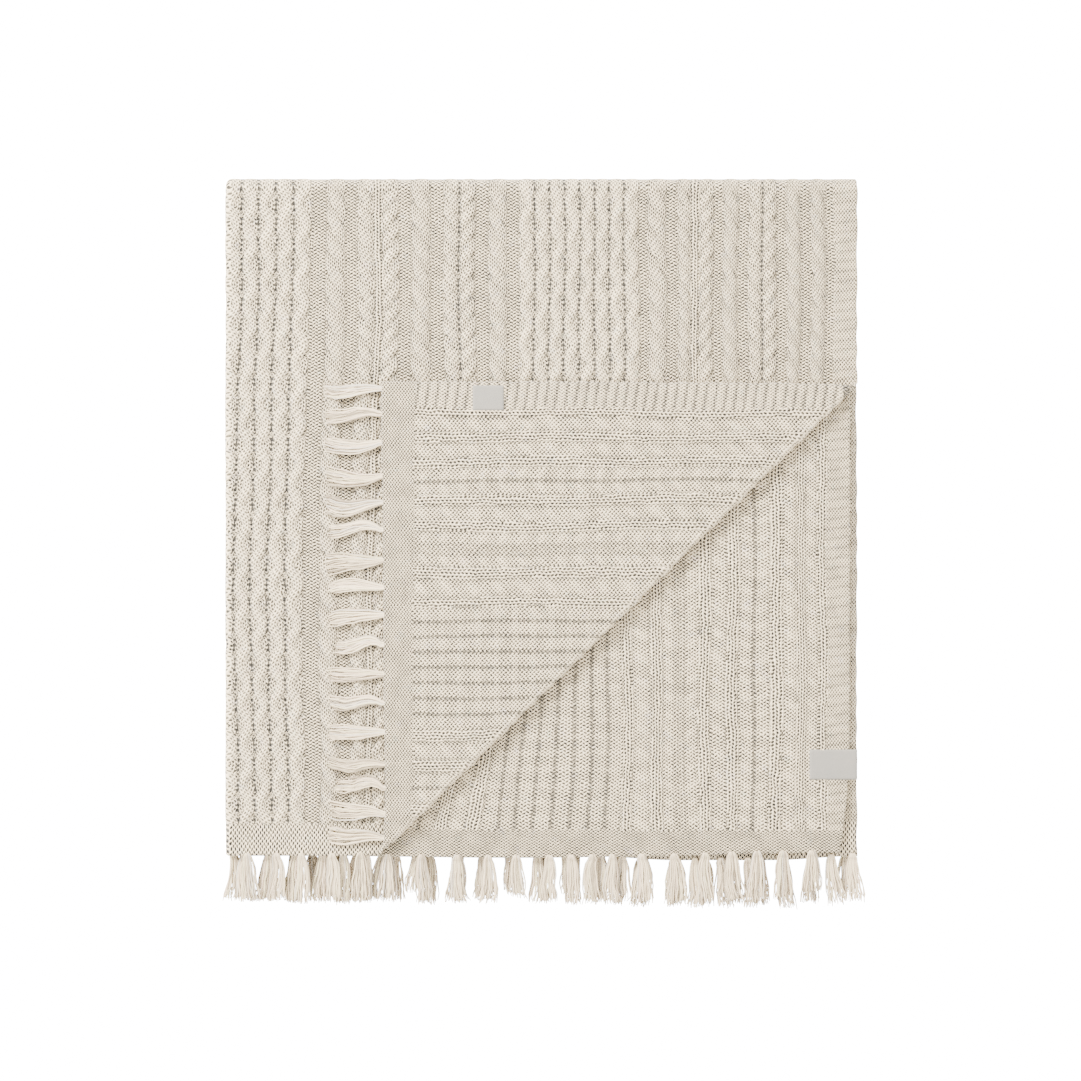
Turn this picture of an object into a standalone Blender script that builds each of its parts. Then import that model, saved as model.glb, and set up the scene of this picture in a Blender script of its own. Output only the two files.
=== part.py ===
"""A cable-knit throw folded in quarters, with the upper layer's corner turned back over its diagonal.

All lengths are in millimetres, and MM turns them into the scene's metres.

The cloth is drawn flat first: u runs across it from the left fold, v runs along it from the top
fold, and h stands off its middle towards its right side. Three bends then lay it up as it is folded:
fold_left, fold_top and turn_back. Layer 1 lies on top (u > 0, v > 0), then layer 2 (u < 0, v > 0),
layer 3 (u < 0, v < 0) and layer 4 (u > 0, v < 0).
"""

import math

import bmesh
import bpy
from mathutils import Vector
from mathutils.geometry import delaunay_2d_cdt

MM = 0.001

# %% Driving dimensions

HALF_WIDTH = 647.0  # left fold to selvedge, half of a 1.3 m wide throw
HALF_LENGTH = 699.6  # top fold to hem, half of a 1.4 m long throw
CREST = 4.0  # top of a cable over the middle of the cloth
GROUND = 2.0  # purl ground between the cables
BACK = 1.5  # wrong side under the middle of the cloth
BACK_RIB = 2.3  # knit ribs of the wrong side
LAYER_GAP = 0.4  # air between two layers
TOP_REACH = 16.5  # cloth that goes round each half of the top fold
FOLD_STEPS = 6  # flat steps round each bend

# The corner's turned-back edge runs between these two points, right of the left fold's axis
# and below the top fold's axis.
ROLL_RIGHT_END = (642.0, -200.4)
ROLL_LEFT_END = (157.3, -678.0)
FLAP_SLIDE = 0.019  # how far the turned corner has slipped along its edge, for each unit of depth

BORDER_HEIGHT = 38.0  # plain knitted border at each hem
BORDER_RISE = 0.35  # how far a border stands up, as a share of a cable's rise
RIB_RISE = 0.6
BRAID_FLOOR = 0.2  # between two cables that touch
CABLE_DIP = 0.35  # between two strands of a cable
BACK_BUMP = 0.5  # the wrong side of a cable's crossing

# Half the pattern, from the middle of the throw to the selvedge.
# Columns: kind, width, how many side by side, lean of the first (the next ones lean the other way)
PATTERN = (
    ("braid", 17.6, 5, 1),
    ("purl", 16.4, 1, 0),
    ("rope", 19.6, 1, 1),
    ("purl", 12.3, 1, 0),
    ("twin", 16.4, 1, 1),
    ("rib", 8.2, 1, 0),
    ("twin", 17.5, 1, -1),
    ("purl", 13.3, 1, 0),
    ("rope", 19.5, 1, 1),
    ("purl", 13.4, 1, 0),
    ("twin", 16.45, 2, 1),
    ("purl", 14.3, 1, 0),
    ("rope", 18.5, 1, 1),
    ("purl", 12.4, 1, 0),
    ("braid", 15.3, 8, -1),
    ("purl", 9.2, 1, 0),
    ("rope", 19.5, 1, 1),
    ("purl", 11.3, 1, 0),
    ("twin", 13.4, 1, 1),
    ("rib", 8.7, 1, 0),
    ("twin", 14.4, 1, -1),
    ("purl", 10.2, 1, 0),
    ("rope", 15.4, 1, 1),
    ("purl", 10.3, 1, 0),
    ("twin", 14.4, 2, 1),
    ("purl", 10.2, 1, 0),
    ("rope", 14.4, 1, 1),
    ("purl", 10.3, 1, 0),
    ("rope", 14.8, 1, 1),
    ("purl", 8.8, 1, 0),
    ("border", 26.0, 1, 0),
)
PERIOD = {"braid": 20.0, "twin": 20.0, "rope": 25.7}  # length of one crossing
CABLE_START = 24.0  # first crossing below the top fold

# How far each edge lies inside the plain rectangle. Columns: place along the edge, inset
RIGHT_SELVEDGE = ((-700, 1.0), (-400, -1.0), (-100, 0.5), (0, 0.0), (200, 0.5), (700, 0.0))
LEFT_SELVEDGE = (
    (-700, -0.5),
    (-300, 0.5),
    (-30, 2.0),
    (60, 6.0),
    (220, 7.0),
    (560, 7.5),
    (640, 10.5),
    (700, 17.0),
)
NEAR_HEM = (
    (-650, 3.0),
    (-560, 2.0),
    (-440, -1.0),
    (-300, -2.5),
    (-50, 0.0),
    (120, 0.0),
    (210, 5.5),
    (400, 3.5),
    (650, 0.0),
)
FAR_HEM = (
    (-650, -1.0),
    (-560, -5.5),
    (-460, -5.5),
    (-370, -1.0),
    (-200, 1.0),
    (0, 0.0),
    (350, 0.0),
    (500, -3.0),
    (650, 0.0),
)

# How far the pattern has slid towards the left fold. Columns: distance from the fold, slide
FRONT_SLIDE = ((0, 5.0), (100, 7.0), (170, 12.0), (300, 10.0), (430, 6.6), (650, 0.0))
SECOND_SLIDE = (
    (0, 26.0),
    (300, 26.0),
    (380, 17.0),
    (480, 15.0),
    (545, 8.0),
    (580, 3.0),
    (600, 6.5),
    (650, 7.0),
)
FRONT_SLIDE_START = 215.0  # layer 1 lies straight down to here, and has slid in full at the end
FRONT_SLIDE_END = 615.0
SECOND_SLIDE_END = 100.0
PATTERN_OFFSET = 2.6  # the pattern's middle lies this far behind the left fold

# Tassels. LOCKS strands fan out of each knot.
TASSEL_LENGTH = 46.5
FLAP_LENGTH = 57.0  # combed out straight over the face below
LOCKS = 3
KNOT_WIDTH = 10.5
TIP_SPREAD = 19.0
LOCK_TIP = 5.4
STRIP_GAP = 0.5
STRIP_DEPTH = 2.4
STRIP_END = 6.5  # from the last knot's middle to the strip's end

LABEL_THICKNESS = 1.2
LABEL_GAP = 0.3
# Columns: width, height, middle right of the left fold's axis, middle below the top fold's axis
SMALL_LABEL = (32.0, 25.5, 264.0, -213.0)
LARGE_LABEL = (49.0, 31.0, 618.6, -589.5)

# %% Heights of the folded layers

PAIR_RADIUS = BACK_RIB + LAYER_GAP / 2
INNER_RADIUS = CREST + LAYER_GAP / 2
PAIR_MIDDLE = INNER_RADIUS + PAIR_RADIUS
OUTER_RADIUS = PAIR_MIDDLE + PAIR_RADIUS
STACK_MIDDLE = OUTER_RADIUS + CREST
LEFT_REACH = math.pi * PAIR_RADIUS / 2
ROLL_RADIUS = CREST + LAYER_GAP / 2
ROLL_MIDDLE = STACK_MIDDLE + OUTER_RADIUS + ROLL_RADIUS
ROLL_REACH = math.pi * ROLL_RADIUS

roll_edge = Vector(ROLL_RIGHT_END) - Vector(ROLL_LEFT_END)
ROLL_ALONG = roll_edge.normalized()
ROLL_OUT = Vector((ROLL_ALONG.y, -ROLL_ALONG.x))
ROLL_AXIS = ROLL_OUT.dot(Vector(ROLL_LEFT_END)) - ROLL_RADIUS - BACK


def ramp(start, end, at):
    """0 up to start, 1 from end on, and straight in between."""
    return min(max((at - start) / (end - start), 0.0), 1.0)


def interpolate(table, at):
    """Straight lines between the rows (place, value) of a short table."""
    for (x0, y0), (x1, y1) in zip(table, table[1:]):
        if at <= x1:
            break
    return y0 + (y1 - y0) * ramp(x0, x1, at)


def eased(table, at):
    """Like interpolate, but level at each row, for the soft lines of an edge."""
    for (x0, y0), (x1, y1) in zip(table, table[1:]):
        if at <= x1:
            break
    share = ramp(x0, x1, at)
    return y0 + (y1 - y0) * (3.0 - 2.0 * share) * share * share


# %% The three bends


def fold_left(u, h):
    """Bends the sheet about the left fold: (distance right of the fold's axis, height in the pair)."""
    if u >= LEFT_REACH:
        return u - LEFT_REACH, PAIR_RADIUS + h
    if u <= -LEFT_REACH:
        return -u - LEFT_REACH, -PAIR_RADIUS - h
    turn = u / LEFT_REACH * math.pi / 2
    radius = PAIR_RADIUS + h
    return -radius * math.cos(turn), radius * math.sin(turn)


def fold_top(v, w):
    """Bends the pair of layers about the top fold: (distance above the fold's axis, height)."""
    radius = PAIR_MIDDLE + w
    if v >= TOP_REACH:
        return TOP_REACH - v, STACK_MIDDLE + radius
    if v <= -TOP_REACH:
        return TOP_REACH + v, STACK_MIDDLE - radius
    turn = v / TOP_REACH * math.pi / 2
    return radius * math.cos(turn), STACK_MIDDLE + radius * math.sin(turn)


def beyond_roll(u, v):
    """How far a point of layer 1 lies beyond the line where the corner starts to turn back."""
    return ROLL_OUT.dot(Vector((u - LEFT_REACH, TOP_REACH - v))) - ROLL_AXIS


def turn_back(x, y, z, h):
    """Rolls what lies beyond the diagonal up, over and back onto layer 1."""
    beyond = ROLL_OUT.dot(Vector((x, y))) - ROLL_AXIS
    if beyond <= 0.0:
        return x, y, z
    radius = ROLL_RADIUS - h
    if beyond < ROLL_REACH:
        turn = beyond / ROLL_RADIUS
        shift = ROLL_OUT * (radius * math.sin(turn) - beyond)
        return x + shift.x, y + shift.y, ROLL_MIDDLE - radius * math.cos(turn)
    back = beyond - ROLL_REACH
    shift = ROLL_OUT * (-back - beyond) - ROLL_ALONG * (FLAP_SLIDE * back)
    return x + shift.x, y + shift.y, ROLL_MIDDLE + radius


def folded(u, v, h):
    """The place of a point of the flat sheet once the throw is folded."""
    x, w = fold_left(u, h)
    y, z = fold_top(v, w)
    if u > LEFT_REACH and v > TOP_REACH:
        x, y, z = turn_back(x, y, z, h)
    return Vector((x, y, z))


# %% The knitted relief


def pattern_columns():
    """Rows (kind, left, width, lean) of every column of half the pattern."""
    left = 0.0
    rows = []
    for kind, width, count, lean in PATTERN:
        for index in range(count):
            rows.append((kind, left, width, lean * (-1) ** index))
            left += width
    return rows


COLUMNS = pattern_columns()


def slide(u, v):
    """How far the pattern has slid at this place."""
    if u >= -LEFT_REACH:
        return ramp(FRONT_SLIDE_START, FRONT_SLIDE_END, v) * interpolate(FRONT_SLIDE, u)
    return ramp(0.0, SECOND_SLIDE_END, v) * interpolate(SECOND_SLIDE, -u)


def pattern_place(u, v):
    """Distance from the middle of the pattern at a place of the sheet."""
    return abs(u) + PATTERN_OFFSET + slide(u, v)


def sheet_place(place, v, side):
    """The u at which the pattern's place lies, on the right half (side 1) or the left half (-1)."""
    u = side * (place - PATTERN_OFFSET)
    for _ in range(4):
        u -= side * (pattern_place(u, v) - place)
    return u


def column_at(place):
    for row in COLUMNS:
        if place < row[1] + row[2]:
            return row
    return COLUMNS[-1]


def cable(across, along, lean):
    """A twisted cable, 1 high at the middle of a crossing and 0 at its sides."""
    round_top = math.sqrt(max(0.0, 1.0 - across * across))
    strand = abs(math.cos(math.pi * (along - 0.5 * lean * across)))
    return round_top * (CABLE_DIP + (1.0 - CABLE_DIP) * strand)


def rise(u, v):
    """The right side's rise over the purl ground, from 0 to 1."""
    if abs(v) > HALF_LENGTH - BORDER_HEIGHT:
        return BORDER_RISE
    kind, left, width, lean = column_at(pattern_place(u, v))
    across = 2 * (pattern_place(u, v) - left) / width - 1
    if kind == "purl":
        return 0.0
    if kind == "border":
        return BORDER_RISE
    if kind == "rib":
        return RIB_RISE * math.sqrt(max(0.0, 1.0 - across * across))
    raised = cable(across, (v - CABLE_START) / PERIOD[kind], lean)
    return max(raised, BRAID_FLOOR) if kind == "braid" else raised


# %% Which parts of each face show

FLAP_TOP = 214.0  # layer 1 goes under the turned corner here, along v
FLAP_LEFT = 163.0  # and here, along u
HIDDEN_STRIP = 12.0  # the relief still goes on for this far under it
SELVEDGE_STRIP = 24.0  # the cloth thins over this width at its edges
CHANNEL_START = TOP_REACH + 10.0  # the underside's channels begin here, below the top fold
CHANNEL_DEPTH = 1.0
CHANNEL_SIDE = 2.0
RELIEF_START = TOP_REACH + 4.0


def under_flap(u, v):
    """How far a point of layer 1 lies inside the area that the turned corner covers."""
    return min(u - FLAP_LEFT, v - FLAP_TOP)


def near_edge(u, v):
    """1 at the hems and selvedges, 0 from SELVEDGE_STRIP inwards."""
    inwards = min(HALF_WIDTH - abs(u), HALF_LENGTH - abs(v))
    return 1.0 - ramp(0.0, SELVEDGE_STRIP, inwards)


def right_height(u, v):
    """Height of the right side over the middle of the cloth."""
    on_front = u > -LEFT_REACH and v > -TOP_REACH
    if on_front and under_flap(u, v) < HIDDEN_STRIP:
        return GROUND + (CREST - GROUND) * rise(u, v)
    if u > LEFT_REACH and v < -TOP_REACH:
        kind = column_at(pattern_place(u, v))[0]
        inner = CHANNEL_START < -v < HALF_LENGTH - BORDER_HEIGHT
        return CREST - CHANNEL_DEPTH if kind == "purl" and inner else CREST
    border = GROUND + (CREST - GROUND) * BORDER_RISE
    return CREST + (border - CREST) * near_edge(u, v)


def back_shows(u, v):
    """Whether the wrong side shows here: on the turned corner, and on layer 2 beside it."""
    if v < TOP_REACH or abs(u) < LEFT_REACH:
        return False
    return beyond_roll(abs(u), v) > (0.0 if u > 0 else -HIDDEN_STRIP)


def back_height(u, v):
    """Height of the wrong side, below the middle of the cloth."""
    plain = BACK_RIB + (BACK - BACK_RIB) * near_edge(u, v)
    if not back_shows(u, v):
        return -plain
    place = pattern_place(u, v)
    kind, left, width, _ = column_at(place)
    across = abs(2 * (place - left) / width - 1)
    if kind == "border" or v > HALF_LENGTH - BORDER_HEIGHT:
        return -BACK
    if kind in ("purl", "rib"):
        return -BACK - (BACK_RIB - BACK) * min(1.0, 2.0 * (1.0 - across))
    if kind == "braid":
        bump = 0.5 - 0.5 * math.cos(2 * math.pi * (v - CABLE_START) / PERIOD[kind])
        return -BACK - BACK_BUMP * bump * (1.0 - across)
    return -BACK


# %% Flat outline of the sheet

EDGE_STEP = 27.0
HEM_STEP = 3.0  # from the last row of the pattern down to the border


def near_hem(u):
    return HALF_LENGTH - eased(NEAR_HEM, u)


def far_hem(u):
    return -HALF_LENGTH + eased(FAR_HEM, u)


def right_selvedge(v):
    return HALF_WIDTH - eased(RIGHT_SELVEDGE, v)


def left_selvedge(v):
    return -HALF_WIDTH + eased(LEFT_SELVEDGE, v)


def spread(start, end, step):
    """Evenly spaced values from start up to, but not including, end."""
    count = max(1, round(abs(end - start) / step))
    return [start + (end - start) * index / count for index in range(count)]


def outline():
    """The sheet's edge, anticlockwise in (u, v)."""
    left_far = (left_selvedge(-HALF_LENGTH), far_hem(-HALF_WIDTH))
    right_far = (right_selvedge(-HALF_LENGTH), far_hem(HALF_WIDTH))
    right_near = (right_selvedge(HALF_LENGTH), near_hem(HALF_WIDTH))
    left_near = (left_selvedge(HALF_LENGTH), near_hem(-HALF_WIDTH))
    points = [left_far]
    points += [(u, far_hem(u)) for u in spread(left_far[0], right_far[0], EDGE_STEP)[1:]]
    points.append(right_far)
    points += [(right_selvedge(v), v) for v in spread(right_far[1], right_near[1], EDGE_STEP)[1:]]
    points.append(right_near)
    points += [(u, near_hem(u)) for u in spread(right_near[0], left_near[0], EDGE_STEP)[1:]]
    points.append(left_near)
    points += [(left_selvedge(v), v) for v in spread(left_near[1], left_far[1], EDGE_STEP)[1:]]
    return points


def bend_lines():
    """Each bend's steps: functions of (u, v) that are zero on the step's line, with the bend's name."""
    lines = []
    for step in range(FOLD_STEPS + 1):
        share = 2 * step / FOLD_STEPS - 1
        lines.append(("left", lambda u, v, at=share * LEFT_REACH: u - at))
        lines.append(("top", lambda u, v, at=share * TOP_REACH: v - at))
        at = step / FOLD_STEPS * ROLL_REACH
        lines.append(("roll", lambda u, v, at=at: beyond_roll(u, v) - at))
    return lines


def crossing(level, start, end):
    """The point between start and end where level is zero."""
    low, high = level(*start), level(*end)
    share = low / (low - high)
    return tuple(a + (b - a) * share for a, b in zip(start, end))


def cut_outline(points, lines):
    """Adds the points where the bends' lines cross the outline, and lists each line's two ends."""
    ends = []
    for name, level in lines:
        found = []
        cut = []
        for start, end in zip(points, points[1:] + points[:1]):
            cut.append(start)
            if level(*start) * level(*end) < 0.0:
                found.append(crossing(level, start, end))
                cut.append(found[-1])
        points = cut
        ends.append((name, found[0], found[1]))
    return points, ends


# %% Points of the two faces


def between(start, end, step):
    """Points along a straight line, both ends included."""
    count = max(1, round(math.dist(start, end) / step))
    return [
        tuple(a + (b - a) * index / count for a, b in zip(start, end)) for index in range(count + 1)
    ]


def cable_lines(kind, left, width, lean, top, bottom, side):
    """Crest and valley of every strand of a cable, as short runs of points across it."""
    runs = []
    stations = (-0.62, 0.0, 0.62) if kind == "rope" else (-0.58, 0.58)
    period = PERIOD[kind]
    first = math.floor((top - CABLE_START) / period) - 1
    last = math.ceil((bottom - CABLE_START) / period) + 1
    for half in range(2 * first, 2 * last):
        run = []
        for across in stations:
            v = CABLE_START + (half / 2 + 0.5 * lean * across) * period
            place = left + (across + 1) * width / 2
            if top <= v <= bottom:
                run.append((sheet_place(place, v, side), v))
        runs.append(run)
    return runs


def column_line(place, top, bottom, step, side):
    """A line that runs down the cloth at one place of the pattern."""
    return [(sheet_place(place, v, side), v) for v in spread(top, bottom, step) + [bottom]]


def bottom_of_column(u):
    """Where the relief of layer 1 ends below this place."""
    hem_border = HALF_LENGTH - BORDER_HEIGHT
    if u < FLAP_LEFT + HIDDEN_STRIP / 2:
        return hem_border
    return FLAP_TOP + HIDDEN_STRIP / 2


def right_side_lines():
    """Lines of points on the right side: cables and ground on layer 1, ribs under layer 4."""
    runs = []
    top = RELIEF_START
    for kind, left, width, lean in COLUMNS:
        right = left + width
        bottom = bottom_of_column(left + width / 2)
        step = PERIOD.get(kind, 40.0)
        for place in ((left, right) if kind in ("purl", "border", "rib") else (left,)):
            if LEFT_REACH + 2 < place < HALF_WIDTH - 4:
                line = column_line(place, top, bottom, step, 1)
                runs.append(line + [(line[-1][0], bottom + HEM_STEP)])
        if kind in PERIOD:
            for run in cable_lines(kind, left, width, lean, top, bottom, 1):
                runs.append([point for point in run if point[0] > LEFT_REACH + 1.5])
        if kind == "rib":
            runs.append(column_line(left + width / 2, top, bottom, step, 1))
        if kind == "purl":
            low = -HALF_LENGTH + BORDER_HEIGHT
            for place in (left, left + CHANNEL_SIDE, right - CHANNEL_SIDE, right):
                u = sheet_place(place + 0.01 * (left + width / 2 - place), low, 1)
                inside = abs(place - left - width / 2) < width / 2 - 1.0
                inset = CHANNEL_SIDE if inside else -0.1
                runs.append([(u, low + inset), (u, -CHANNEL_START - inset)])
    return runs


# Lines of points down a column's wrong side. Columns: share of the column's width, step
BACK_LINES = {
    "purl": ((0.02, 24.0), (0.5, 24.0), (0.98, 24.0)),
    "rib": ((0.02, 24.0), (0.5, 24.0), (0.98, 24.0)),
    "braid": ((0.0, 60.0), (0.5, PERIOD["braid"] / 2)),
}


def shows_or_nearly(u, v):
    return beyond_roll(abs(u), v) > -ROLL_RADIUS - PAIR_RADIUS


def back_side_lines():
    """Lines of points on the wrong side, on the turned corner and on layer 2."""
    runs = []
    bottom = HALF_LENGTH - BORDER_HEIGHT
    for kind, left, width, _ in COLUMNS:
        for share, step in BACK_LINES.get(kind, ()):
            for side in (1, -1):
                line = column_line(left + share * width, CABLE_START, bottom, step, side)
                end = (sheet_place(left + share * width, bottom, side), bottom + HEM_STEP)
                runs.append([point for point in line + [end] if shows_or_nearly(*point)])
    return runs


def bend_points(ends, right_side):
    """The bends' lines, with points where the relief needs them."""
    stations = sorted(
        sheet_place(left + share * width, 0.0, 1)
        for kind, left, width, _ in COLUMNS
        for share in ((0.0,) if kind in ("purl", "border") else (0.0, 0.5))
        if LEFT_REACH + 3 < left + share * width < HALF_WIDTH - 4
    )
    runs = []
    for name, start, end in ends:
        if name == "left":
            start, end = sorted((start, end), key=lambda point: point[1])
            shows = right_side and start[0] > -LEFT_REACH / 2
            inner = [(start[0], v) for v in spread(TOP_REACH + 10.0, HALF_LENGTH - 20.0, 10.0)]
            runs.append([start] + (inner if shows else []) + [end])
        elif name == "top":
            start, end = sorted((start, end))
            shows = right_side and start[1] > -TOP_REACH / 2
            inner = [(u, start[1]) for u in stations]
            runs.append([start] + (inner if shows else []) + [end])
        else:
            runs.append(between(start, end, 400.0 if right_side else 24.0))
    return runs


def triangulated(edge, runs):
    """Triangles of one face of the sheet, with its corners and each edge point's corner."""
    points = [Vector(point) for point in edge]
    links = [(index, (index + 1) % len(edge)) for index in range(len(edge))]
    known = {(round(u, 4), round(v, 4)): index for index, (u, v) in enumerate(edge)}
    for run in runs:
        last = None
        for point in run:
            key = (round(point[0], 4), round(point[1], 4))
            if key not in known:
                known[key] = len(points)
                points.append(Vector(point))
            if last is not None and last != known[key]:
                links.append((last, known[key]))
            last = known[key]
    corners, _, faces, origin, _, _ = delaunay_2d_cdt(points, links, [], 1, 1e-4)
    at = {}
    for index, sources in enumerate(origin):
        for source in sources:
            at[source] = index
    return [tuple(corner) for corner in corners], faces, [at[index] for index in range(len(edge))]


# %% Objects


def clear_scene():
    for obj in list(bpy.data.objects):
        bpy.data.objects.remove(obj, do_unlink=True)


def material(name, colour, roughness):
    made = bpy.data.materials.new(name)
    made.use_nodes = True
    shader = made.node_tree.nodes["Principled BSDF"]
    shader.inputs["Base Color"].default_value = (*colour, 1.0)
    shader.inputs["Roughness"].default_value = roughness
    shader.inputs["Metallic"].default_value = 0.0
    return made


def make_object(name, points, faces, surface):
    mesh = bpy.data.meshes.new(name)
    mesh.from_pydata([Vector(point) * MM for point in points], [], faces)
    mesh.materials.append(surface)
    mesh.update()
    made = bpy.data.objects.new(name, mesh)
    bpy.context.collection.objects.link(made)
    return made


def make_throw(surface):
    """Both faces of the sheet, triangulated flat, folded, and joined by a wall along its edge."""
    edge, ends = cut_outline(outline(), bend_lines())
    right_flat, right_faces, right_edge = triangulated(
        edge, bend_points(ends, True) + right_side_lines()
    )
    back_flat, back_faces, back_edge = triangulated(
        edge, bend_points(ends, False) + back_side_lines()
    )
    points = [folded(u, v, right_height(u, v)) for u, v in right_flat]
    points += [folded(u, v, back_height(u, v)) for u, v in back_flat]
    offset = len(right_flat)
    faces = [tuple(reversed(face)) for face in right_faces]
    faces += [tuple(corner + offset for corner in face) for face in back_faces]
    for index in range(len(edge)):
        after = (index + 1) % len(edge)
        faces.append(
            (
                right_edge[index],
                right_edge[after],
                back_edge[after] + offset,
                back_edge[index] + offset,
            )
        )
    return make_object("throw", points, faces, surface)


# %% Tassels

# Where the tassels of each run are knotted, as distances along the hem from the left fold. They
# are knotted by hand, so no two gaps are alike.
FRONT_TASSELS = (20.5, 50.3, 76.0, 107.8, 136.6)
FLAP_TASSELS = (
    176.5, 201.2, 228.1, 252.2, 285.8, 315.5, 345.7, 376.6, 407.5,
    435.2, 463.9, 495.4, 523.6, 550.5, 585.4, 615.0, 641.5,
)
SECOND_TASSELS = (
    18.5, 42.1, 69.8, 97.6, 119.1, 142.8, 164.3, 199.2, 236.2, 268.0, 296.8,
    330.7, 353.3, 374.9, 395.4, 426.2, 459.1, 490.9, 518.2, 544.3, 571.0, 600.5,
)
THIRD_TASSELS = (
    16.4, 42.1, 71.9, 100.6, 132.5, 159.2, 194.1, 234.2, 262.9, 289.6, 319.4,
    348.2, 383.1, 405.7, 428.3, 459.1, 480.6, 507.3, 535.1, 572.0, 621.3, 642.9,
)
FOURTH_TASSELS = (
    10.6, 42.1, 66.8, 86.3, 114.0, 140.7, 171.5, 206.4, 238.3, 265.0, 294.7,
    324.5, 357.4, 379.0, 401.6, 426.2, 461.1, 489.9, 516.6, 547.4, 600.8, 635.7,
)

# Each run of tassels. Columns: name, side of the left fold, end of the throw (1 near, -1 far),
# length, places, and (underside, top) at the knot, at mid length and at the tip
FRINGES = (
    ("fringe_front", 1, 1, TASSEL_LENGTH, FRONT_TASSELS, ((20.9, 24.8), (15.7, 19.8), (13.0, 16.2))),
    ("fringe_flap", 1, 1, FLAP_LENGTH, FLAP_TASSELS, ((28.3, 32.2), (26.9, 31.0), (26.8, 29.8))),
    ("fringe_second", -1, 1, TASSEL_LENGTH, SECOND_TASSELS, ((14.8, 18.8), (10.8, 14.8), (9.1, 12.4))),
    ("fringe_third", -1, -1, TASSEL_LENGTH, THIRD_TASSELS, ((7.5, 11.5), (5.5, 9.6), (4.9, 8.3))),
    ("fringe_fourth", 1, -1, TASSEL_LENGTH, FOURTH_TASSELS, ((0.0, 4.8), (0.0, 4.6), (0.0, 3.8))),
)


def hem_frame(u, end):
    """A hem's place, direction along it and direction outwards, level, once folded."""
    hem = near_hem if end > 0 else far_hem
    here = folded(u, hem(u), 0.0)
    along = folded(u + 1.0, hem(u + 1.0), 0.0) - folded(u - 1.0, hem(u - 1.0), 0.0)
    out = folded(u, hem(u), 0.0) - folded(u, hem(u) - 2.0 * end, 0.0)
    along.z = out.z = 0.0
    along.normalize()
    out = (out - along * out.dot(along)).normalized()
    return here, along, out


def wander(index, salt):
    """A steady pseudo-random number from -1 to 1."""
    return 2.0 * math.modf(abs(math.sin(index * 12.9898 + salt * 78.233)) * 43758.5453)[0] - 1.0


def strip_point(u, end, out_by, height):
    here, _, out = hem_frame(u, end)
    place = here + out * out_by
    return (place.x, place.y, height)


def make_fringe(row, surface):
    """A narrow strip along the hem, with LOCKS strands of three sides fanning out of each knot."""
    name, side, end, long, places, heights = row
    points = []
    faces = []

    def add(point):
        points.append(point)
        return len(points) - 1

    (low, high), middle, tip = heights
    centres = [side * place for place in places]
    centres.sort()
    bounds = [centres[0] - STRIP_END]
    bounds += [(a + b) / 2 for a, b in zip(centres, centres[1:])]
    bounds.append(centres[-1] + STRIP_END)
    front = STRIP_GAP + STRIP_DEPTH

    def section(u):
        return [
            add(strip_point(u, end, STRIP_GAP, low)),
            add(strip_point(u, end, STRIP_GAP, high)),
            add(strip_point(u, end, front, high)),
            add(strip_point(u, end, front, low)),
        ]

    sections = [section(u) for u in bounds]
    faces.append(tuple(sections[0]))
    faces.append(tuple(reversed(sections[-1])))
    root = KNOT_WIDTH / LOCKS
    for index, centre in enumerate(centres):
        before, after = sections[index], sections[index + 1]
        feet = [
            add(strip_point(centre + (lock - LOCKS / 2) * root, end, front, low))
            for lock in range(LOCKS + 1)
        ]
        ridges = [
            add(strip_point(centre + (lock + 0.5 - LOCKS / 2) * root, end, front, high))
            for lock in range(LOCKS)
        ]
        faces.append((before[0], before[3], *feet, after[3], after[0]))
        faces.append((before[1], after[1], after[2], *reversed(ridges), before[2]))
        faces.append((before[1], before[0], after[0], after[1]))
        faces.append((before[2], ridges[0], feet[0], before[3]))
        faces.append((ridges[-1], after[2], after[3], feet[-1]))
        for lock in range(LOCKS - 1):
            faces.append((ridges[lock], ridges[lock + 1], feet[lock + 1]))
        here, along, out = hem_frame(centre, end)
        tilt = 2.5 * wander(index, side + 3 * end + len(name))
        length = long * (1.0 + 0.03 * wander(index, 7))
        for lock in range(LOCKS):
            share = (lock + 0.5) / LOCKS - 0.5
            ring = [feet[lock], feet[lock + 1], ridges[lock]]
            for reach, (bottom, top), width in (
                (0.5, middle, 0.5 * (root + LOCK_TIP)),
                (1.0, tip, LOCK_TIP),
            ):
                off = (1 - reach) * share * KNOT_WIDTH + reach * share * TIP_SPREAD + reach * tilt
                middle_point = here + along * off + out * (front + reach * (length - front))
                left = middle_point - along * width / 2
                right = middle_point + along * width / 2
                fresh = [
                    add((left.x, left.y, bottom)),
                    add((right.x, right.y, bottom)),
                    add((middle_point.x, middle_point.y, top)),
                ]
                for a in range(3):
                    b = (a + 1) % 3
                    faces.append((ring[a], ring[b], fresh[b], fresh[a]))
                ring = fresh
            faces.append(tuple(ring))
    return make_object(name, points, faces, surface)


# %% Labels


def make_label(name, row, base, surface):
    """A flat woven tab."""
    width, height, middle_x, middle_y = row
    x = (middle_x - width / 2, middle_x + width / 2)
    y = (middle_y - height / 2, middle_y + height / 2)
    z = (base, base + LABEL_THICKNESS)
    points = [(a, b, c) for c in z for b in y for a in x]
    faces = [(0, 2, 3, 1), (4, 5, 7, 6), (0, 1, 5, 4), (2, 6, 7, 3), (0, 4, 6, 2), (1, 3, 7, 5)]
    return make_object(name, points, faces, surface)


def make_labels(surface):
    flap_top = ROLL_MIDDLE + ROLL_RADIUS + BACK_RIB
    second_top = STACK_MIDDLE + INNER_RADIUS + BACK_RIB
    return [
        make_label("label_small", SMALL_LABEL, flap_top + LABEL_GAP, surface),
        make_label("label_large", LARGE_LABEL, second_top + LABEL_GAP, surface),
    ]


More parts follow.
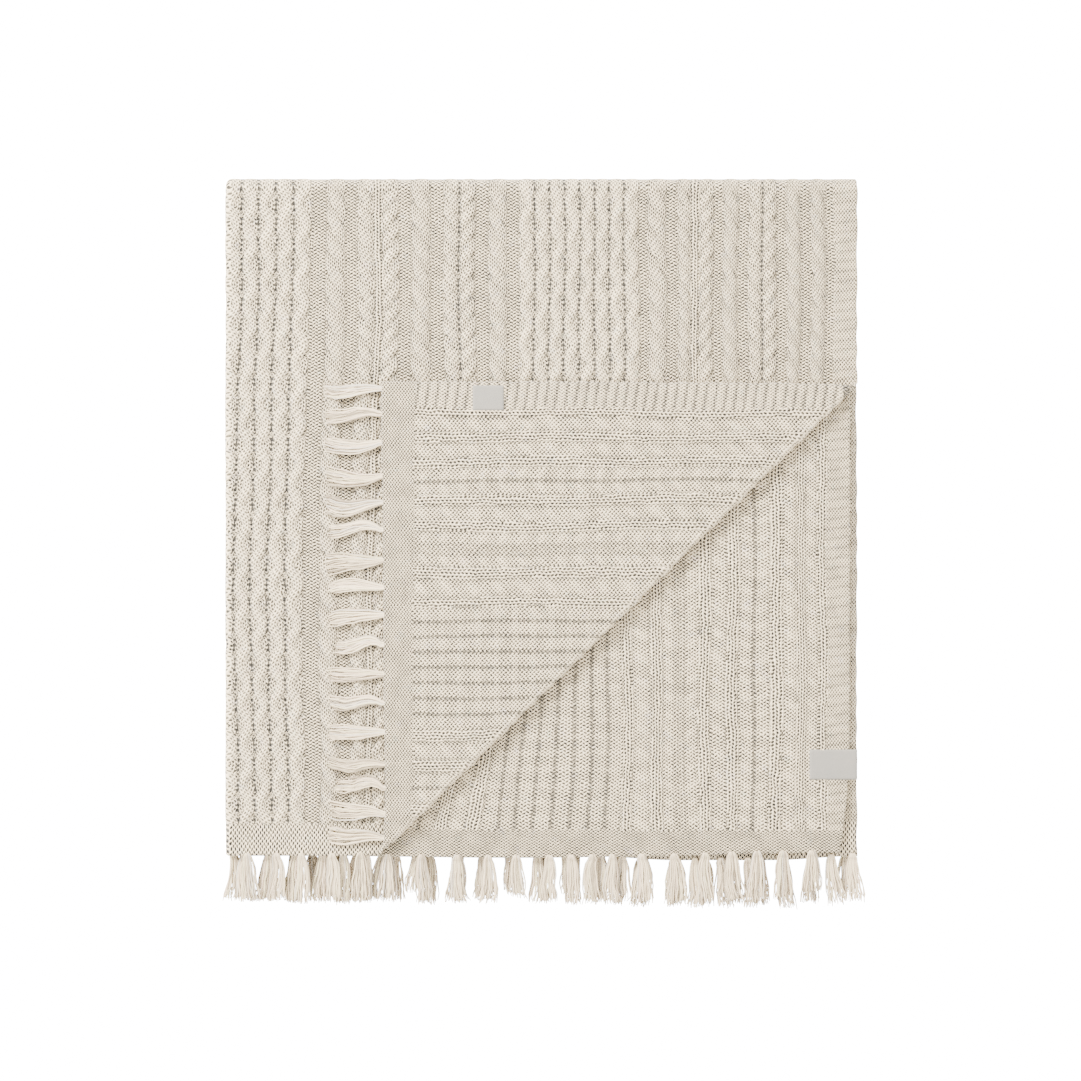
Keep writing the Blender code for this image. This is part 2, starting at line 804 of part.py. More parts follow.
def fix_normals(obj):
    """Turns every face outwards."""
    work = bmesh.new()
    work.from_mesh(obj.data)
    bmesh.ops.recalc_face_normals(work, faces=work.faces)
    work.to_mesh(obj.data)
    work.free()


def centre_on_floor(objects):
    """Moves the meshes so that the origin is the middle of the throw's footprint, on the floor."""
    corners = [vertex.co for obj in objects for vertex in obj.data.vertices]
    low = Vector([min(corner[axis] for corner in corners) for axis in range(3)])
    high = Vector([max(corner[axis] for corner in corners) for axis in range(3)])
    shift = Vector((-(low.x + high.x) / 2, -(low.y + high.y) / 2, -low.z))
    for obj in objects:
        for vertex in obj.data.vertices:
            vertex.co += shift


def main():
    clear_scene()
    knit = material("cream_knit", (0.72, 0.68, 0.61), 0.95)
    yarn = material("cream_yarn", (0.76, 0.71, 0.63), 0.95)
    tape = material("grey_tape", (0.62, 0.61, 0.59), 0.9)
    objects = [make_throw(knit)]
    objects += [make_fringe(row, yarn) for row in FRINGES]
    objects += make_labels(tape)
    for obj in objects:
        fix_normals(obj)
    centre_on_floor(objects)


main()
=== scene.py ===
# %% [markdown]
# # A cable-knit throw, folded in quarters
# The throw is one knitted sheet of cream cotton, 1.3 m wide and 1.4 m long, with tassels knotted
# along both hems. It lies folded in four layers, and the top layer's loose corner is turned back
# over its diagonal, so the knit's wrong side shows there and on the layer below it. It could be
# draped by simulation, but a neatly folded cloth follows simple rules: here three functions, one
# for each fold, bend every point of the flat sheet.

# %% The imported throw
import functools
import math

import bpy
import numpy as np
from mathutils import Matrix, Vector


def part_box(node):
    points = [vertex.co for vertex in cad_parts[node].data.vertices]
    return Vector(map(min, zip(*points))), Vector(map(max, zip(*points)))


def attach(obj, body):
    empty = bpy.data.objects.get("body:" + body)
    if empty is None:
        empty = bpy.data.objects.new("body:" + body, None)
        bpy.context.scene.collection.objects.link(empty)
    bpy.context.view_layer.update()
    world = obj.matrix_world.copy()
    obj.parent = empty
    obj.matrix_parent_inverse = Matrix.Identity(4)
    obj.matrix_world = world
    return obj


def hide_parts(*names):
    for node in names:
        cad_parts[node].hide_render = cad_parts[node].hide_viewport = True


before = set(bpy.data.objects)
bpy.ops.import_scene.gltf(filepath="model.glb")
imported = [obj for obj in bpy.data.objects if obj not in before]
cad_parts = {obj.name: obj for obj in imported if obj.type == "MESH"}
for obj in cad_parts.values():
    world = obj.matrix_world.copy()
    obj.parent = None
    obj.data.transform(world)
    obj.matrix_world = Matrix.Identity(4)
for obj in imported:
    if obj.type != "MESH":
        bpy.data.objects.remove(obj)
MM = 0.001
TAU = 2.0 * math.pi
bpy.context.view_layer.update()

# %% [markdown]
# ## Sizes of the folded cloth
# The sheet is drawn flat first: u runs across it from the left fold, v runs along it from the top
# fold, and h stands off its middle towards its right side, all in millimetres. A row of constants
# holds the cloth's thickness on each face, and the heights of the four layers follow from them, so
# the layers always lie on one another.

# %% Thickness and layers
HALF_WIDTH = 647.0
HALF_LENGTH = 699.6
CREST = 4.0  # height of the right side where layers lie on it
BACK_RIB = 2.3  # height of the wrong side at its ribs, and of its plain parts
BACK = 1.5
LAYER_GAP = 0.4
TOP_REACH = 16.5  # half the length of cloth that bends round the top fold
# The ends of the corner's diagonal edge, right of the left fold's axis and above the top fold's
ROLL_RIGHT_END = (642.0, -200.4)
ROLL_LEFT_END = (157.3, -678.0)
FLAP_SLIDE = 0.019  # how far the corner slides along the diagonal, for each millimetre beyond it

PAIR_RADIUS = BACK_RIB + LAYER_GAP / 2
INNER_RADIUS = CREST + LAYER_GAP / 2
PAIR_MIDDLE = INNER_RADIUS + PAIR_RADIUS
OUTER_RADIUS = PAIR_MIDDLE + PAIR_RADIUS
STACK_MIDDLE = OUTER_RADIUS + CREST
LEFT_REACH = math.pi * PAIR_RADIUS / 2
ROLL_RADIUS = CREST + LAYER_GAP / 2
ROLL_MIDDLE = STACK_MIDDLE + OUTER_RADIUS + ROLL_RADIUS
ROLL_REACH = math.pi * ROLL_RADIUS

roll_edge = np.subtract(ROLL_RIGHT_END, ROLL_LEFT_END)
ROLL_ALONG = roll_edge / np.hypot(*roll_edge)
ROLL_OUT = np.array((ROLL_ALONG[1], -ROLL_ALONG[0]))
ROLL_AXIS = ROLL_OUT @ ROLL_LEFT_END - ROLL_RADIUS - BACK

# The small label's middle ties the sheet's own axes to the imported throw's.
LABEL_PLACE = (264.0, -213.0)
label_corners = np.array([list(corner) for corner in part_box("label_small")])
SHIFT = label_corners.mean(axis=0) - np.array((*LABEL_PLACE, 0.0)) * MM
SHIFT[2] = 0.0
print("layers lie at", [round(STACK_MIDDLE + side * OUTER_RADIUS, 1) for side in (-1, 1)], "mm")

# %% [markdown]
# ## Three bends
# On the real throw the left fold, the top fold and the turned corner are three soft rolls. Each one
# is a half circle whose inner face nearly closes, and everything beyond it lies flat and the other
# way up. NumPy bends a whole grid of points in one go, so a hundred thousand of them are quick.

# %% Bending the sheet
def ramp(start, end, at):
    """0 up to start, 1 from end on, and straight in between."""
    return np.clip((at - start) / (end - start), 0.0, 1.0)


def fold_left(u, h):
    """Bends the sheet about the left fold: (distance right of the axis, height in the pair)."""
    turn = np.clip(u / LEFT_REACH, -1.0, 1.0) * math.pi / 2
    radius = PAIR_RADIUS + h
    return np.maximum(np.abs(u) - LEFT_REACH, 0.0) - radius * np.cos(turn), radius * np.sin(turn)


def fold_top(v, w):
    """Bends the pair of layers about the top fold: (distance above the axis, height)."""
    turn = np.clip(v / TOP_REACH, -1.0, 1.0) * math.pi / 2
    radius = PAIR_MIDDLE + w
    y = radius * np.cos(turn) - np.maximum(np.abs(v) - TOP_REACH, 0.0)
    return y, STACK_MIDDLE + radius * np.sin(turn)


def beyond_roll(u, v):
    """How far a point of the top layer lies beyond the line where the corner starts to turn."""
    return ROLL_OUT[0] * (u - LEFT_REACH) + ROLL_OUT[1] * (TOP_REACH - v) - ROLL_AXIS


def turn_back(x, y, z, h):
    """Rolls what lies beyond the diagonal up, over and back onto the top layer."""
    beyond = ROLL_OUT[0] * x + ROLL_OUT[1] * y - ROLL_AXIS
    rolled = beyond > 0.0
    radius = ROLL_RADIUS - h
    turn = np.clip(beyond / ROLL_RADIUS, 0.0, math.pi)
    back = np.maximum(beyond - ROLL_REACH, 0.0)
    out = radius * np.sin(turn) - back - beyond
    x = np.where(rolled, x + ROLL_OUT[0] * out - ROLL_ALONG[0] * FLAP_SLIDE * back, x)
    y = np.where(rolled, y + ROLL_OUT[1] * out - ROLL_ALONG[1] * FLAP_SLIDE * back, y)
    return x, y, np.where(rolled, ROLL_MIDDLE - radius * np.cos(turn), z)


def folded(u, v, h):
    """Points of the flat sheet in their places in the folded throw, in metres."""
    x, w = fold_left(u, h)
    y, z = fold_top(v, w)
    turned = turn_back(x, y, z, h)
    top_layer = (u > LEFT_REACH) & (v > TOP_REACH)
    place = [np.where(top_layer, new, old) for new, old in zip(turned, (x, y, z))]
    return np.stack(place, axis=-1) * MM + SHIFT


print("top of the turned corner:", folded(np.array(600.0), np.array(600.0), -BACK).round(4))

# %% [markdown]
# ## The cable pattern
# A knitter reads such a cloth as columns: ropes of six stitches, twins of four, a honeycomb of
# touching braids, knit ribs and plain borders, with purl ground between them. A table holds the
# columns from the middle to the edge, and the other half mirrors it. More tables say how far the
# soft cloth has slid out of line when it was folded.

# %% Columns from the middle to the edge
PURL, RIB, BORDER, TWIN, BRAID, ROPE = range(6)
# Columns: kind, width, how many side by side, lean of the first (the next ones lean the other way)
PATTERN = (
    (BRAID, 17.6, 5, 1), (PURL, 16.4, 1, 0), (ROPE, 19.6, 1, 1), (PURL, 12.3, 1, 0),
    (TWIN, 16.4, 1, 1), (RIB, 8.2, 1, 0), (TWIN, 17.5, 1, -1), (PURL, 13.3, 1, 0),
    (ROPE, 19.5, 1, 1), (PURL, 13.4, 1, 0), (TWIN, 16.45, 2, 1), (PURL, 14.3, 1, 0),
    (ROPE, 18.5, 1, 1), (PURL, 12.4, 1, 0), (BRAID, 15.3, 8, -1), (PURL, 9.2, 1, 0),
    (ROPE, 19.5, 1, 1), (PURL, 11.3, 1, 0), (TWIN, 13.4, 1, 1), (RIB, 8.7, 1, 0),
    (TWIN, 14.4, 1, -1), (PURL, 10.2, 1, 0), (ROPE, 15.4, 1, 1), (PURL, 10.3, 1, 0),
    (TWIN, 14.4, 2, 1), (PURL, 10.2, 1, 0), (ROPE, 14.4, 1, 1), (PURL, 10.3, 1, 0),
    (ROPE, 14.8, 1, 1), (PURL, 8.8, 1, 0), (BORDER, 26.0, 1, 0),
)
columns = [
    (kind, width, lean * (-1) ** index)
    for kind, width, count, lean in PATTERN
    for index in range(count)
]
KIND, WIDTH, LEAN = np.array(columns).T
KIND = KIND.astype(int)
LEFT = np.concatenate(([0.0], np.cumsum(WIDTH)[:-1]))
# The soft knit is pulled a little longer or shorter in each part of the folded throw. Rows: the
# front, the turned corner and the second layer. Columns: the kinds, in the order above.
FRONT, CORNER, SECOND = range(3)
START = np.array(
    ((24.0,) * 4 + (20.5, 26.0), (3.5,) * 4 + (9.0, 26.1), (9.0,) * 4 + (2.9, 8.9))
)
CROSSING = np.array(
    ((20.0,) * 4 + (20.55, 25.7), (19.8,) * 4 + (18.5, 26.4), (18.2,) * 4 + (16.9, 24.4))
)
# Two cables that touch have a dotted seam of holes between them.
SEAM_LEFT = np.concatenate(([True], (KIND[1:] >= TWIN) & (KIND[:-1] >= TWIN)))
SEAM_RIGHT = np.concatenate((SEAM_LEFT[1:], [False]))

FRONT_SLIDE = ((0, 5.0), (100, 7.0), (170, 12.0), (300, 10.0), (430, 6.6), (650, 0.0))
SECOND_SLIDE = (
    (0, 26.0), (300, 26.0), (380, 17.0), (480, 15.0), (545, 8.0), (580, 3.0), (600, 6.5),
    (650, 7.0),
)
# The front's columns also bow to the left half way down, most near the left fold, and those of the
# second layer fan out to the left over the last stretch before the hem.
FRONT_BOW = (
    (0, 0.0), (125, 0.0), (172, 1.6), (218, 4.6), (310, 5.2), (403, 7.0), (449, 6.4), (495, 4.2),
    (541, 2.0), (588, -1.4), (700, -1.4),
)
BOW_SHARE = ((0, 0.9), (40, 1.0), (75, 0.9), (110, 0.6), (160, 0.3), (200, 0.0))
SECOND_FAN = (
    (0, 24.0), (220, 22.0), (250, 21.0), (275, 13.0), (340, 8.0), (370, 5.0), (410, 2.0),
    (450, 0.0),
)
PATTERN_OFFSET = 2.6
BORDER_HEIGHT = np.array((33.0, 32.0, 26.0))  # of the plain bands along the hems


def interpolate(table, at):
    places, values = np.array(table, float).T
    return np.interp(at, places, values)


def pattern_place(u, v):
    """Distance from the middle of the pattern at a place of the sheet."""
    front = ramp(215.0, 615.0, v) * interpolate(FRONT_SLIDE, u)
    front = front + interpolate(FRONT_BOW, v) * interpolate(BOW_SHARE, u)
    second = ramp(0.0, 100.0, v) * interpolate(SECOND_SLIDE, -u)
    second = second + ramp(560.0, 690.0, v) ** 1.2 * interpolate(SECOND_FAN, -u)
    out = np.abs(u)
    wobble = 0.8 * np.sin(v / 31.0 + out / 23.0) + 0.7 * np.sin(v / 73.0 - out / 37.0 + 1.0)
    wobble = wobble * ramp(8.0, 40.0, out) * ramp(0.0, 60.0, np.abs(v))
    return out + PATTERN_OFFSET + np.where(u >= -LEFT_REACH, front, second) + wobble


def column_at(place):
    return np.clip(np.searchsorted(LEFT, place, side="right") - 1, 0, len(LEFT) - 1)


def part_at(u, v):
    corner = (u > 0.0) & (v > 0.0) & (beyond_roll(u, v) > ROLL_REACH / 2)
    return np.where(corner, CORNER, np.where((u < 0.0) & (v > 0.0), SECOND, FRONT))


def in_hem(u, v):
    """The plain bands along the two hems."""
    return np.abs(v) > HALF_LENGTH - BORDER_HEIGHT[part_at(u, v)]


def in_column(u, v, column):
    """Place across a column, from -1 to 1, and along it, in crossings."""
    across = 2.0 * (pattern_place(u, v) - LEFT[column]) / WIDTH[column] - 1.0
    part, kind = part_at(u, v), KIND[column]
    return across, (v - START[part, kind]) / CROSSING[part, kind]


def pattern_at(u, v):
    """The column at a place of the sheet, its kind, and the place across and along it."""
    column = column_at(pattern_place(u, v))
    return column, KIND[column], *in_column(u, v, column)


print(len(columns), "columns,", round(LEFT[-1] + WIDTH[-1], 1), "mm from middle to edge")

# %% [markdown]
# ## Cables
# A cable is two strands of stitches that change places at every crossing. In a rope or a twin they
# always cross the same way, so each strand in turn runs over the other. In the honeycomb's braids
# the crossings alternate, so one strand snakes along on top, and the other one shows beside it,
# lower down, as the hollow of a cell.

# %% Two strands that cross
SWING = 0.44  # how far a strand swings, in half widths of the cable
STRAND = 0.56  # half a strand's width, in half widths of the cable


def strand(number, across, along, column):
    """A strand's surface, 1 high where it lies on top, and the distance from its middle."""
    woven = KIND[column] == BRAID
    turn = math.pi * (along + number)
    passing = np.cos(turn)
    snaking = np.where(number > 0.5, -0.75, 0.72 + 0.28 * np.abs(passing))
    on_top = np.where(woven, snaking, passing)
    off = across - SWING * LEAN[column] * np.where(woven, -1.0, 1.0) * np.sin(turn)
    half = STRAND * (1.0 + 0.22 * np.abs(passing))
    dome = np.sqrt(np.clip(1.0 - (off / half) ** 2, 0.0, None))
    return dome * (0.64 + 0.36 * on_top), off / half


def cable(across, along, column):
    """The surface of a cable, which is the higher of its two strands."""
    return np.maximum(*(strand(n, across, along, column)[0] for n in (0, 1)))


for kind in (ROPE, BRAID):
    heights = cable(np.array((-SWING, SWING)), 0.5, np.argmax(KIND == kind))
    print("between two crossings, left and right:", heights.round(2))

# %% [markdown]
# ## Height of each face
# On the right side the cables stand over the purl ground. On the wrong side the ground shows as
# raised knit ribs, and the cables as flat fields with a soft bulge behind each crossing. Both
# faces thin out and round off at the hems and selvedges. Under the turned corner the top layer
# keeps below the height that the corner lies at.

# %% Relief of the right side and the wrong side
GROUND_LOW = 1.2
CREST_HIGH = 5.0
STRETCHED_GROUND = 2.3  # how much higher the ground lies where a fold stretches it
STRETCHED_CREST = 0.9  # and how much lower the cables lie
UNDER_CORNER = 1.1  # how much lower they lie under the turned corner
RIB_RISE = 0.6  # shares of the way from the ground to the cables
BORDER_RISE = 0.5
WRONG_FIELD = 1.2  # behind the cables
WRONG_BULGE = 0.6  # more behind a crossing
WRONG_RIB = 1.3  # at a rib's foot
WRONG_RIB_RISE = 1.2
WRONG_BORDER = 1.9
SWELL = 0.35
EDGE_RIPPLE = 0.5
EDGE_ROUND = 2.4  # width of the rounding at the hems and selvedges
EDGE_THIN = 0.4  # thickness left at the very edge, as a share
PLEAT = 10.1
PLEAT_DEPTH = np.array((0.35, 1.0, 0.4))  # front, turned corner, second layer
FLAP_LEFT = 163.0  # the turned corner covers what lies right of this and below the next
FLAP_TOP = 214.0


def edge_inset(u, v):
    """How far the sheet's edge lies inside the plain rectangle: (selvedge, hem)."""
    side = np.where(u > 0.0, eased(RIGHT_SELVEDGE, v), eased(LEFT_SELVEDGE, v))
    side = side + EDGE_RIPPLE * np.sin(v / 6.0 + 2.0 * np.sin(v / 29.0))
    end = np.where(v > 0.0, eased(NEAR_HEM, u), eased(FAR_HEM, u))
    return side, end


def eased(table, at):
    """Between the rows of a table, level at each row, for the soft lines of an edge."""
    places, values = np.array(table, float).T
    row = np.clip(np.searchsorted(places, at) - 1, 0, len(places) - 2)
    share = ramp(places[row], places[row + 1], at)
    return values[row] + (values[row + 1] - values[row]) * (3.0 - 2.0 * share) * share * share


# Columns: place along the edge, inset
RIGHT_SELVEDGE = (
    (-700, 1.0), (-400, -1.0), (-100, 0.5), (0, 0.0), (190, 0.5), (280, -2.5), (700, -2.5),
)
LEFT_SELVEDGE = (
    (-700, -0.5), (-300, 0.5), (-30, 2.0), (60, 6.0), (220, 7.0), (560, 7.5), (640, 10.5),
    (700, 17.0),
)
NEAR_HEM = (
    (-650, 3.0), (-560, 2.0), (-440, -1.0), (-300, -2.5), (-50, 0.0), (120, 0.0), (210, 4.0),
    (400, 1.5), (650, -2.0),
)
FAR_HEM = (
    (-650, -1.0), (-560, -5.5), (-460, -5.5), (-370, -1.0), (-200, 1.0), (0, 0.0), (350, 0.0),
    (500, -3.0), (650, 0.0),
)


def edge_distance(u, v):
    side, end = edge_inset(u, v)
    return np.minimum(HALF_WIDTH - side - np.abs(u), HALF_LENGTH - end - np.abs(v))


def rounded_edge(u, v):
    """1 inside the cloth, falling off in a quarter circle over the last stitches."""
    near = 1.0 - np.clip(edge_distance(u, v) / EDGE_ROUND, 0.0, 1.0)
    return EDGE_THIN + (1.0 - EDGE_THIN) * np.sqrt(1.0 - near * near)


def soft_swell(u, v):
    """Slow waves of a cloth that nobody has ironed."""
    return SWELL * np.sin(u / 41.0 + 1.3 * np.sin(v / 67.0)) * np.sin(v / 53.0 + 0.8)


def groove(u, v):
    """1 in the grooves between the shallow pleats that the selvedge border pulls into."""
    wave = np.sin(TAU * (v + 0.15 * np.abs(u)) / PLEAT)
    return np.clip(wave, 0.0, 1.0) ** 2 * PLEAT_DEPTH[part_at(u, v)]


def right_height(u, v):
    """Height of the right side over the middle of the cloth."""
    column, kind, across, along = pattern_at(u, v)
    touching = np.where(across < 0.0, SEAM_LEFT[column], SEAM_RIGHT[column])
    rise = np.maximum(cable(across, along, column), 0.2 * touching)
    dome = np.sqrt(np.clip(1.0 - across * across, 0.0, 1.0))
    at_hem = in_hem(u, v)
    border = BORDER_RISE - 0.3 * groove(u, v) * ~at_hem
    plain = (kind == BORDER) | at_hem
    rise = np.select((plain, kind == PURL, kind == RIB), (border, 0.0, RIB_RISE * dome), rise)
    under = np.minimum(u - FLAP_LEFT, v - FLAP_TOP)
    crest = CREST_HIGH - UNDER_CORNER * ramp(-6.0, 2.0, under)
    crest = np.where(v < 0.0, CREST, crest)
    # A fold stretches its outer face, so the ground lies nearly as high as the cables there.
    at_top = 1.0 - ramp(12.0, 27.0, np.abs(v))
    at_fold = np.maximum(at_top, 0.85 - 0.85 * ramp(3.0, 14.0, np.abs(u)))
    ground = GROUND_LOW + STRETCHED_GROUND * at_fold
    crest = crest - STRETCHED_CREST * at_fold * (crest > CREST)
    height = ground + (crest - ground) * rise
    swell = soft_swell(u, v) * (1.0 - ramp(-20.0, -6.0, under)) * (v > TOP_REACH)
    return (height + swell) * rounded_edge(u, v)


def bulge_behind(across, along, column):
    """1 behind the middle of each crossing and 0 around it, leaning a little with the cable."""
    lean = np.where(KIND[column] == BRAID, 0.0, 0.22 * LEAN[column])
    behind = np.cos(math.pi * (along - lean * across)) ** 6 * (KIND[column] >= TWIN)
    return behind * np.clip(1.0 - across * across, 0.0, 1.0)


def wrong_height(u, v):
    """Height of the wrong side, below the middle of the cloth, as a negative number."""
    column, kind, across, along = pattern_at(u, v)
    rib = WRONG_RIB + WRONG_RIB_RISE * np.clip(1.9 * (1.0 - np.abs(across)), 0.0, 1.0) ** 0.7
    field = WRONG_FIELD + WRONG_BULGE * bulge_behind(across, along, column)
    at_hem = in_hem(u, v)
    border = WRONG_BORDER - 0.9 * groove(u, v) * ~at_hem
    height = np.select(((kind == BORDER) | at_hem, kind == PURL), (border, rib), field)
    return -(height + 0.6 * soft_swell(u, v)) * rounded_edge(u, v)


def hidden_height(u, v, right):
    """A plain face that another layer covers."""
    return (CREST - 0.15 if right else -BACK_RIB) * rounded_edge(u, v)


print("right side", right_height(np.array((60.0, 95.0)), 300.0).round(2), "mm over the middle")

# %% [markdown]
# ## Stitches as coordinates
# The stitches are too many to model one by one, so the surface holds their count instead: one UV
# map says which wale and which course each point lies in, another says where
# in its cable it lies, and a colour attribute holds four masks: how far stitches show as knit Vs,
# where a seam of holes runs, how deep the holes are, and how much painted shade the face gets in a
# valley, a pleat's groove or along the turned corner's edge.
# Each face follows the strand that lies on top there, so the Vs run along the strands and stop
# where another strand crosses.

# %% Counting wales and courses
# Millimetres across a wale and along a course. Rows: the front, turned corner and second layer.
GROUND_STITCH = np.array(((6.2, 3.45), (4.6, 4.2), (5.5, 3.7)))
HEM_STITCH = np.array(((4.25, 5.75), (4.3, 3.2), (4.85, 3.0)))
BORDER_STITCH = np.array(((3.4, 4.2), (3.3, 5.05), (3.3, 4.0)))
CABLE_COURSE = 3.9
CABLE_WALES = (2.0, 2.6)  # in one strand of a twin or braid, and of a rope
RIB_WALE = 6.3
BORDER_DEPTH = np.array((0.95, 0.9, 0.96))  # how deep the gaps of the side borders look
HEM_DEPTH = np.array((1.17, 1.06, 1.1))
EDGE_LINE = 1.3  # width of the painted shadow line along the turned corner's edge


def stitch_count(u, v, column, number, right, at_hem, part):
    """Wales and courses at a corner of a face whose column, strand and part are known."""
    across, along = in_column(u, v, column)
    place = pattern_place(u, v)
    kind = KIND[column]
    ground = GROUND_STITCH[part]
    from_middle = across * WIDTH[column] / 2.0 / RIB_WALE + 0.5
    wale, course = place / ground[:, 0], v / ground[:, 1]
    if right:
        _, off = strand(number, across, along, column)
        wales = np.where(kind == ROPE, CABLE_WALES[1], CABLE_WALES[0])
        wale = np.where(kind >= TWIN, off * wales / 2.0 + wales / 2.0, wale)
        course = np.where(kind >= TWIN, v / CABLE_COURSE, course)
        wale = np.where(kind == RIB, from_middle, wale)
        # The seams of the honeycomb step from side to side with its cells.
        step = 2.0 * (along % 1.0) - 1.0
        across = np.where(kind == BRAID, across * (1.0 + 0.16 * LEAN[column] * step), across)
    else:
        wale = np.where(kind == PURL, from_middle, wale)
        across = np.where(kind == RIB, 1.0 - 0.6 * np.abs(across), across)
    side = (kind == BORDER, place, BORDER_STITCH[part])
    for edge, around, size in (side, (at_hem, np.abs(u), HEM_STITCH[part])):
        wale = np.where(edge, around / size[:, 0], wale)
        course = np.where(edge, v / size[:, 1], course)
    return wale, course, across, along


def stitch_masks(u, v, right, at_hem):
    """Knit, seam, depth and painted valley shade masks of faces."""
    column, kind, across, along = pattern_at(u, v)
    plain = at_hem | (kind == BORDER)
    seam = np.where(across < 0.0, SEAM_LEFT[column], SEAM_RIGHT[column]) * (kind >= TWIN)
    rim = np.abs(across) ** 4
    if right:
        knit = kind != PURL
        low = 1.0 - cable(across, along, column)
        depth = np.where(kind == BRAID, 0.8, 0.88) + 0.3 * low
        depth = np.select((kind == PURL, kind == RIB), (1.08 + 0.1 * rim, 1.1), depth)
        # Painted shade darkens the cables where their strands lie low.
        valley_shade = 0.22 * low * (kind >= TWIN)
    else:
        knit = kind == PURL
        seam = np.where(kind == RIB, 0.35, 0.65 * seam)
        bulge = bulge_behind(across, along, column) * np.where(kind == BRAID, 0.1, 0.18)
        depth = np.where(kind == PURL, 1.08, 1.0 + 0.2 * rim - bulge)
        # Painted shade darkens the sides of the fields behind the cables.
        valley_shade = 0.25 * rim * (kind >= TWIN)
    pleats = groove(u, v) * ~at_hem
    knit = np.where(plain, 0.4 * right * at_hem, knit)
    part = part_at(u, v)
    plain_depth = np.where(at_hem, HEM_DEPTH[part], BORDER_DEPTH[part])
    depth = np.where(plain, plain_depth + 0.4 * pleats, depth)
    # In the plain bands, painted shade lies in the pleats' grooves.
    valley_shade = np.where(plain, 1.4 * pleats, valley_shade)
    # The turn of the corner stretches the outer face, which draws its gaps shut.
    if not right:
        off_crown = np.abs(2.0 * beyond_roll(u, v) / ROLL_REACH - 1.0)
        on_roll = np.clip(1.25 - off_crown, 0.0, 1.0) * ((u > 0.0) & (v > 0.0))
        depth = depth * (1.0 - 0.35 * on_roll)
        # A thin line of painted shadow runs along the turned corner's edge.
        valley_shade = np.where((part == CORNER) & (edge_distance(u, v) < EDGE_LINE), 1.3, valley_shade)
    return knit, seam * ~at_hem, depth, valley_shade


# %% [markdown]
# ## One slab of cloth
# The sheet is laid out as a few slabs that meet edge to edge, because only the faces that show need
# fine relief. A slab is a grid: its showing face has several small squares for each large square
# of its hidden face, and a wall joins the two around the rim, so every slab is closed.

# %% Building a slab from a grid
def new_object(name, data):
    made = bpy.data.objects.new(name, data)
    bpy.context.collection.objects.link(made)
    return made


def on_sheet(u, v):
    """Pulls the outer part of the plain rectangle in to the hems and selvedges."""
    side, end = edge_inset(u, v)
    return (
        u - np.sign(u) * side * (np.abs(u) / HALF_WIDTH) ** 6,
        v - np.sign(v) * end * (np.abs(v) / HALF_LENGTH) ** 6,
    )


def rim_walls(keep, fine, large, small, fine_is_right):
    """Wall polygons around the kept squares, from corner numbers of the large and small grids."""
    walls = []
    rows, cols = keep.shape
    padded = np.pad(keep, 1)
    # Each side of a square: the neighbour it faces, and the corners it starts and ends at
    sides = (
        ((-1, 0), (0, 0), (0, 1)),
        ((0, 1), (0, 1), (1, 1)),
        ((1, 0), (1, 1), (1, 0)),
        ((0, -1), (1, 0), (0, 0)),
    )
    for (dj, di), start, end in sides:
        open_side = keep & ~padded[1 + dj : rows + 1 + dj, 1 + di : cols + 1 + di]
        for j, i in zip(*np.nonzero(open_side)):
            p, q = np.add((j, i), start), np.add((j, i), end)
            steps = np.linspace(p * fine, q * fine, fine + 1).astype(int)
            wall = [large[tuple(q)], large[tuple(p)], *small[tuple(steps.T)]]
            walls.append(wall if fine_is_right else wall[::-1])
    return walls


def squares(numbers, keep, right):
    """The grid's kept squares as corner numbers, facing out on the right or the wrong side."""
    j, i = np.nonzero(keep)
    corners = [numbers[j, i], numbers[j, i + 1], numbers[j + 1, i + 1], numbers[j + 1, i]]
    return np.stack(corners[::-1] if right else corners, axis=-1)


def slab(name, u_lines, v_lines, fine, shows, keep_at=None):
    """A closed piece of the throw between two lists of grid lines."""
    grid = (u_lines, v_lines)
    keep = np.ones((len(v_lines) - 1, len(u_lines) - 1), bool)
    if keep_at is not None:
        keep = keep_at(*np.meshgrid(*((at[1:] + at[:-1]) / 2 for at in grid)))
    cuts = [np.arange(fine * (len(at) - 1) + 1) / fine for at in grid]
    cuts = [np.interp(cut, np.arange(len(at)), at) for cut, at in zip(cuts, grid)]
    small_u, small_v = on_sheet(*np.meshgrid(*cuts))
    large_u, large_v = small_u[::fine, ::fine], small_v[::fine, ::fine]
    right = shows == "right"
    height = right_height(small_u, small_v) if right else wrong_height(small_u, small_v)
    hidden = hidden_height(large_u, large_v, not right)
    sides = ((small_u, small_v, height), (large_u, large_v, hidden))
    points = np.concatenate([folded(*side).reshape(-1, 3) for side in sides])
    flat = np.concatenate([np.stack(side[:2], -1).reshape(-1, 2) for side in sides])
    small = np.arange(small_u.size).reshape(small_u.shape)
    large = np.arange(large_u.size).reshape(large_u.shape) + small_u.size
    keep_small = np.kron(keep, np.ones((fine, fine), bool))
    quads = np.concatenate((squares(small, keep_small, right), squares(large, keep, not right)))
    walls = rim_walls(keep, fine, large, small, right)
    totals = np.repeat((4, fine + 3), (len(quads), len(walls)))
    loops = np.concatenate((quads.reshape(-1), np.reshape(walls, -1)))
    used, loops = np.unique(loops, return_inverse=True)
    square_loops, wall_loops = np.split(loops.reshape(-1), [quads.size])
    faces = square_loops.reshape(-1, 4).tolist() + wall_loops.reshape(-1, fine + 3).tolist()
    mesh = bpy.data.meshes.new(name)
    mesh.from_pydata(points[used].tolist(), [], faces)
    paint_stitches(mesh, flat[used][loops.reshape(-1)], totals, right)
    mesh.validate()
    piece = new_object(name, mesh)
    cell_areas = np.outer(np.diff(v_lines), np.diff(u_lines)) * MM * MM
    return piece, (np.ptp(u_lines) * MM, np.ptp(v_lines) * MM), float(cell_areas[keep].sum())


